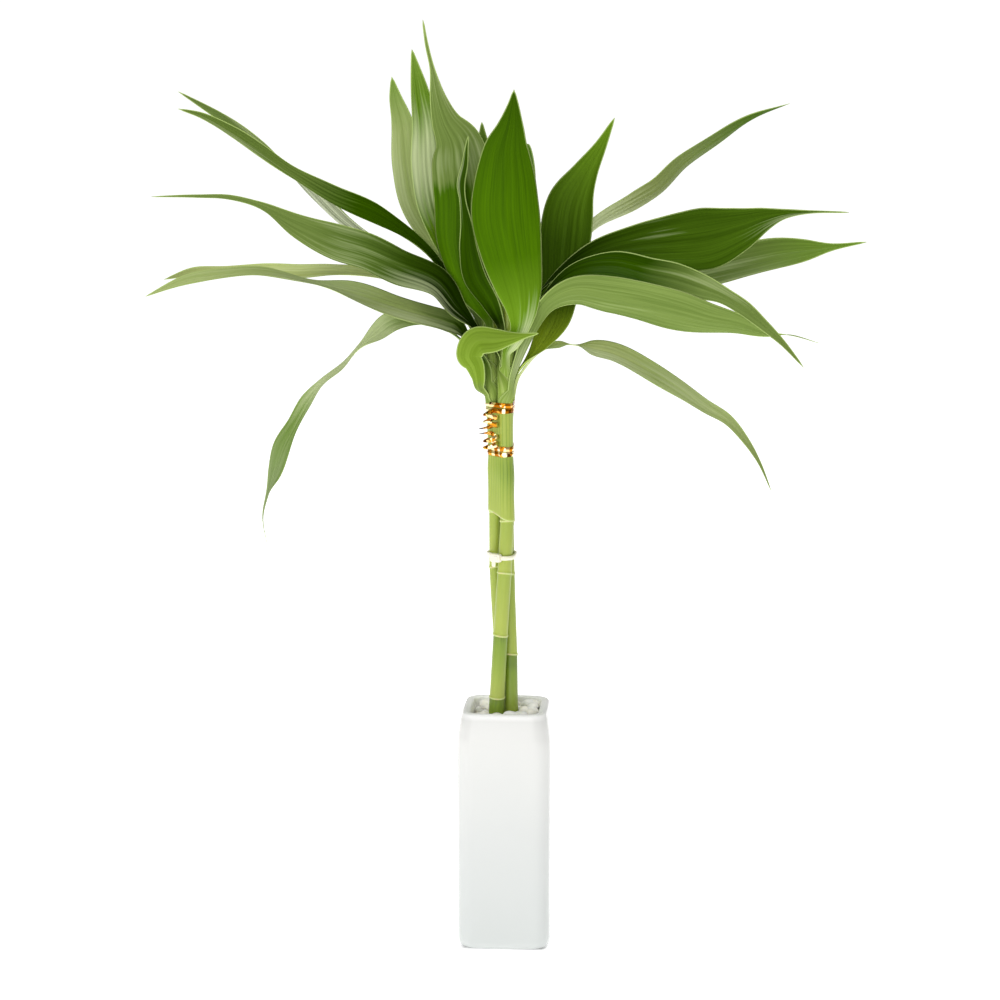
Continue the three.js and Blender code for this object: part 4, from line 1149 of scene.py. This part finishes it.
def leaf(name, seed, pleat=PLEAT_DEPTH, painted_sheen=(), **table):
    """Blade and sheath as closed sections: arcs of the bend, R = width / bend, with thickness.

    A point is rib + across R sin a + upper R (1 - cos a) + normal h, where h is half the
    thickness times the root of 1 - s^2, up or down, plus pleats, crease and margin wave.
    """
    rib, across, upper, width, bend = blade_frame(**table)
    low_rib, reach, low_bend = sheath_rows(name, **table)
    turn = math.radians(table["side"])
    inward = np.array([-math.cos(turn), -math.sin(turn), 0])
    count = len(low_rib)
    rib = np.vstack([low_rib, rib])
    upper = np.vstack([np.tile(inward, (count, 1)), upper])
    across = np.vstack([np.tile(np.cross([0, 0, 1], inward), (count, 1)), across])
    bend = np.concatenate([low_bend, bend])
    width = np.concatenate([reach * low_bend, width])
    length = np.concatenate([[0], np.cumsum(np.linalg.norm(np.diff(rib, axis=0), axis=1))])
    length -= length[count]
    place = np.clip(length / length[-1], 0, 1)[:, None]
    width = width * (1 - 0.75 * np.clip((place[:, 0] - 0.985) / 0.015, 0, 1))

    s = np.linspace(-1, 1, ACROSS)
    s = np.concatenate([s, s[-2:0:-1]])
    side = np.concatenate([np.ones(ACROSS), -np.ones(ACROSS - 2)])
    angle = s * bend[:, None] / 2
    radius = (width / bend)[:, None]
    normal = (upper[:, None] * np.cos(angle)[..., None] - across[:, None] * np.sin(angle)[..., None])
    open_part = np.clip(length / 30, 0, 1)[:, None] * np.clip((1 - place) / 0.12, 0, 1)
    thick = THICKNESS * np.where(length < 0, 0.35 + 0.65 * np.clip(1 + length / 12, 0, 1), 1)
    thick = thick[:, None] * (1 - 0.45 * place)
    slow = 1 + 0.4 * np.sin(length / 23 + seed)[:, None]
    height = side * thick / 2 * np.sqrt(np.clip(1 - s**2, 0, 1))
    broad = np.clip(width / 14, 0.15, 1)[:, None]
    height = height + open_part * broad * (
        pleat * slow * np.cos(PLEATS * np.pi * s + 0.3 * seed) * (1 - s**4)
        - CREASE_DEPTH * np.exp(-((s / 0.07) ** 2))
        + MARGIN_WAVE * np.sin(length[:, None] / 9.5 + seed + 1.4 * (s > 0)) * np.abs(s) ** 3
    )
    points = (rib[:, None] + across[:, None] * (radius * np.sin(angle))[..., None]
              + upper[:, None] * (radius * (1 - np.cos(angle)))[..., None]
              + normal * height[..., None])
    widest = width[count:].max() / 2
    shape = points.shape[:2]
    values = {
        "along": np.broadcast_to(place, shape),
        "below": np.broadcast_to(side < 0, shape).astype(float),
        "sheath": np.broadcast_to(np.clip(0.5 - length[:, None] / 24, 0, 1), shape),
        "grain": np.stack(np.broadcast_arrays(s * widest, length[:, None], 13.7 * seed), axis=-1),
        "edge": np.broadcast_to((1 - np.abs(s)) * (width / 2)[:, None], shape),
        "shine": shine_share(painted_sheen, place, s),
    }
    body, quads, triangles = loft(points)
    ready = turned(body, PLANT_TURN), quads, triangles
    return ready, {key: two_more(value) for key, value in values.items()}


# %% [markdown]
# ## The skin of a leaf
#
# A leaf's upper side is a deep, waxy green with lighter streaks along the veins. Its underside
# is paler and duller, and the margins are thin and nearly yellow. A scanned leaf picture would
# fix the streaks to one leaf. Here noise is stretched along the blade instead, in the blade's
# own millimetres, so every leaf gets veins of the right width that run with its length.

# %% Name the greens
# Some greens are painted light and shade: 'shade' is painted shade on blade bases deep in the crown,
# and 'bright' is painted light on leaves that lie in shade.
GREENS = {  # the ground colour, and the streaks along the veins
    "shade": ("#162800", "#1f3600"),
    "deep": ("#284400", "#355500"),
    "vivid": ("#3b5f00", "#4b7300"),
    "leafy": ("#385408", "#496812"),
    "spring": ("#5c8010", "#6e9420"),
    "bright": ("#8ea61c", "#a2bb34"),
    "fold": ("#6a8622", "#7c9832"),
    "sage": ("#67882c", "#7c9a3e"),
    "moss": ("#566b2a", "#6a803a"),
    "soft": ("#647a36", "#7a8f48"),
    "olive": ("#7a8648", "#909c60"),
    "pale": ("#96a860", "#aab878"),
    "light": ("#b2be72", "#c4ce8c"),
    "grey": ("#7e8c5e", "#97a37e"),
    "striped": ("#46522c", "#bac1a2"),
}
# The colour of the painted sheen, a painted reflection of the white room.
PAINTED_SHEEN_GREEN = "#c9d4a2"
SHEATH_GREENS, MARGIN_GREEN = ("#7f993c", "#a3b664"), "#b9cf7c"


# %% [markdown]
# The skin is laid on in the order of a painting: the two sides, the base, the tip, the painted
# sheen, the sheath, and last the thin pale margin. The sheen stands for reflections, so the
# shader's own gloss is kept very low, and a leaf hardly answers to other lamps.

# %% Colour the leaves
def leaf_skin(tree, greens, fades):
    """Streaked greens: base, upper side, underside and tip, then the sheath and the margin."""
    grain, edge, along, below, sheath, shine = (
        add(tree, "Attribute", attribute_name=name)
        for name in ("grain", "edge", "along", "below", "sheath", "shine")
    )
    # The grain is in millimetres: streaks 2.4 mm wide and fine veins 0.6 mm wide, far longer.
    broad = add(tree, "Mapping", {"Vector": grain.outputs["Vector"], "Scale": (1 / 2.4, 1 / 80, 1)})
    streak = add(tree, "TexNoise", {"Vector": broad.outputs[0], "Scale": 1, "Detail": 3})
    narrow = add(tree, "Mapping", {"Vector": grain.outputs["Vector"], "Scale": (1 / 0.6, 1 / 60, 1)})
    vein = add(tree, "TexNoise", {"Vector": narrow.outputs[0], "Scale": 1, "Detail": 1})
    both = add(tree, "Math", {0: vein.outputs[0], 1: 0.6, 2: streak.outputs[0]},
               operation="MULTIPLY_ADD")
    stripes = add(tree, "MapRange", {0: both.outputs[0], 1: 0.6, 2: 1.0})

    def mixed(share, first, second):
        return add(tree, "Mix", {0: share, 6: first, 7: second}, data_type="RGBA").outputs[2]

    def streaked(pair):
        return mixed(stripes.outputs[0], linear(pair[0]), linear(pair[1]))

    base, upper, under, tip = (streaked(GREENS[green]) for green in greens.split())
    colour = mixed(below.outputs["Fac"], upper, under)
    # The streak noise frays the two borders, so that no band goes straight across the blade.
    frayed = add(tree, "Math", {0: streak.outputs[0], 1: 0.12, 2: along.outputs["Fac"]},
                 operation="MULTIPLY_ADD")
    near = add(tree, "MapRange", {0: frayed.outputs[0], 1: fades[0] / 2 + 0.06, 2: fades[0] + 0.06})
    colour = mixed(near.outputs[0], base, colour)
    far = add(tree, "MapRange", {0: frayed.outputs[0], 1: fades[1] + 0.06, 2: fades[2] + 0.06})
    colour = mixed(far.outputs[0], colour, tip)
    # The painted sheen hazes the green, and first of all on the streaks.
    lifted = add(tree, "Math", {0: streak.outputs[0], 1: shine.outputs["Fac"]})
    haze = add(tree, "MapRange", {0: lifted.outputs[0], 1: 0.72, 2: 1.4, 4: 0.85})
    colour = mixed(haze.outputs[0], colour, linear(PAINTED_SHEEN_GREEN))
    colour = mixed(sheath.outputs["Fac"], colour, streaked(SHEATH_GREENS))
    # The margin is pale over the last 0.5 mm.
    rim = add(tree, "MapRange", {0: edge.outputs["Fac"], 1: 0.75, 2: 0.35, 4: 0.75})
    colour = mixed(rim.outputs[0], colour, linear(MARGIN_GREEN))
    bump = add(tree, "Bump", {"Height": both.outputs[0], "Strength": 0.3, "Distance": 0.6 * MM})
    wax = add(tree, "MapRange", {0: below.outputs["Fac"], 3: 0.3, 4: 0.42})
    return {"Base_Color": colour, "Normal": bump.outputs[0], "Roughness": wax.outputs[0]}


for seed, (name, table) in enumerate(LEAVES.items()):
    greens, fades, gloss = table.pop("greens"), table.pop("fades"), table.pop("gloss", 0.04)
    title = name.replace("leaf", "waxy_blade")
    skin = finish(title, lambda tree: leaf_skin(tree, greens, fades), IOR=1.4,
                  Specular_IOR_Level=gloss)
    shape, values = leaf(name, seed, **table)
    piece(name.replace("leaf", "blade"), shape, skin, name, **values)

# %% [markdown]
# ## The studio
#
# The photograph has a plain white ground with hardly a shadow: a sweep of white paper in a
# bright room. Four soft lamps stand at the front, at the upper front left, at the right and
# overhead. The room's light comes from all sides, and the lamps only model the forms.

# %% Set the lights
def softbox(name, place, size, watts, tone="#ffffff"):
    """A rectangular lamp that looks at the middle of the plant."""
    lamp = bpy.data.lights.new(name, "AREA")
    lamp.shape = "RECTANGLE"
    lamp.size, lamp.size_y = size
    lamp.energy = watts
    lamp.color = linear(tone)[:3]
    made = bpy.data.objects.new(name, lamp)
    made.location = place
    made.rotation_euler = (Vector((0, 0, 0.3)) - made.location).to_track_quat("-Z", "Y").to_euler()
    bpy.context.scene.collection.objects.link(made)


softbox("front", (-0.5, -2.4, 0.75), (1.6, 1.6), 14)
softbox("key", (-1.3, -1.5, 1.7), (0.9, 0.9), 11)
softbox("side", (1.9, -0.7, 0.9), (0.5, 1.2), 0.6)
softbox("top", (0.1, 0.5, 1.9), (1.2, 0.8), 19)

room = bpy.data.worlds.new("bright_room")
room.use_nodes = True
room.node_tree.nodes["Background"].inputs["Color"].default_value = (1, 1, 1, 1)
room.node_tree.nodes["Background"].inputs["Strength"].default_value = 0.35
bpy.context.scene.world = room

# %% [markdown]
# The floor is one wide disc of matt paper. It also gives off a light of its own, so that it
# reaches the picture's plain white. That glow is held back close round the vase's foot, where
# a small shadow sets the vase on the ground.

# %% Lay the paper floor
PAPER_GLOW = 0.74
FOOT_HALF, SHADE_REACH = 20 * MM, 7 * MM


def paper(tree):
    """Matt white paper with a faint mottle, and a glow that is held back round the foot.

    The distance to the foot is the length of (|x|, |y|) - half, where that is positive.
    """
    place = add(tree, "TexCoord")
    mottle = add(tree, "TexNoise", {"Vector": place.outputs["Object"], "Scale": 1 / (5 * MM)})
    tone = add(tree, "ValToRGB", {0: mottle.outputs[0]}, stops=[(0.3, "#f8f8f8"), (0.7, "#fafafa")])
    folded = add(tree, "VectorMath", {0: place.outputs["Object"]}, operation="ABSOLUTE")
    beyond = add(tree, "VectorMath", {0: folded.outputs[0], 1: (FOOT_HALF, FOOT_HALF, 0)},
                 operation="SUBTRACT")
    outside = add(tree, "VectorMath", {0: beyond.outputs[0], 1: (0, 0, 0)}, operation="MAXIMUM")
    away = add(tree, "VectorMath", {0: outside.outputs[0]}, operation="LENGTH")
    glow = add(tree, "MapRange", {0: away.outputs["Value"], 1: 0.0, 2: SHADE_REACH, 3: 0.0,
                                  4: PAPER_GLOW}, interpolation_type="SMOOTHSTEP")
    return {"Base_Color": tone.outputs[0], "Emission_Strength": glow.outputs[0]}


FLOOR_REACH = 20.0
rim_angle = np.linspace(0, 2 * np.pi, 96, endpoint=False)
rim_points = np.stack([FLOOR_REACH * np.cos(rim_angle), FLOOR_REACH * np.sin(rim_angle),
                       0 * rim_angle], axis=-1)
floor_mesh = bpy.data.meshes.new("paper_floor")
floor_mesh.from_pydata(rim_points.tolist(), [], [list(range(len(rim_points)))])
floor_mesh.materials.append(finish("matt_paper", paper, Roughness=0.95,
                                   Emission_Color=linear("#ffffff")))
floor = bpy.data.objects.new("paper_floor", floor_mesh)
bpy.context.scene.collection.objects.link(floor)
bpy.context.scene.view_settings.view_transform = "Standard"
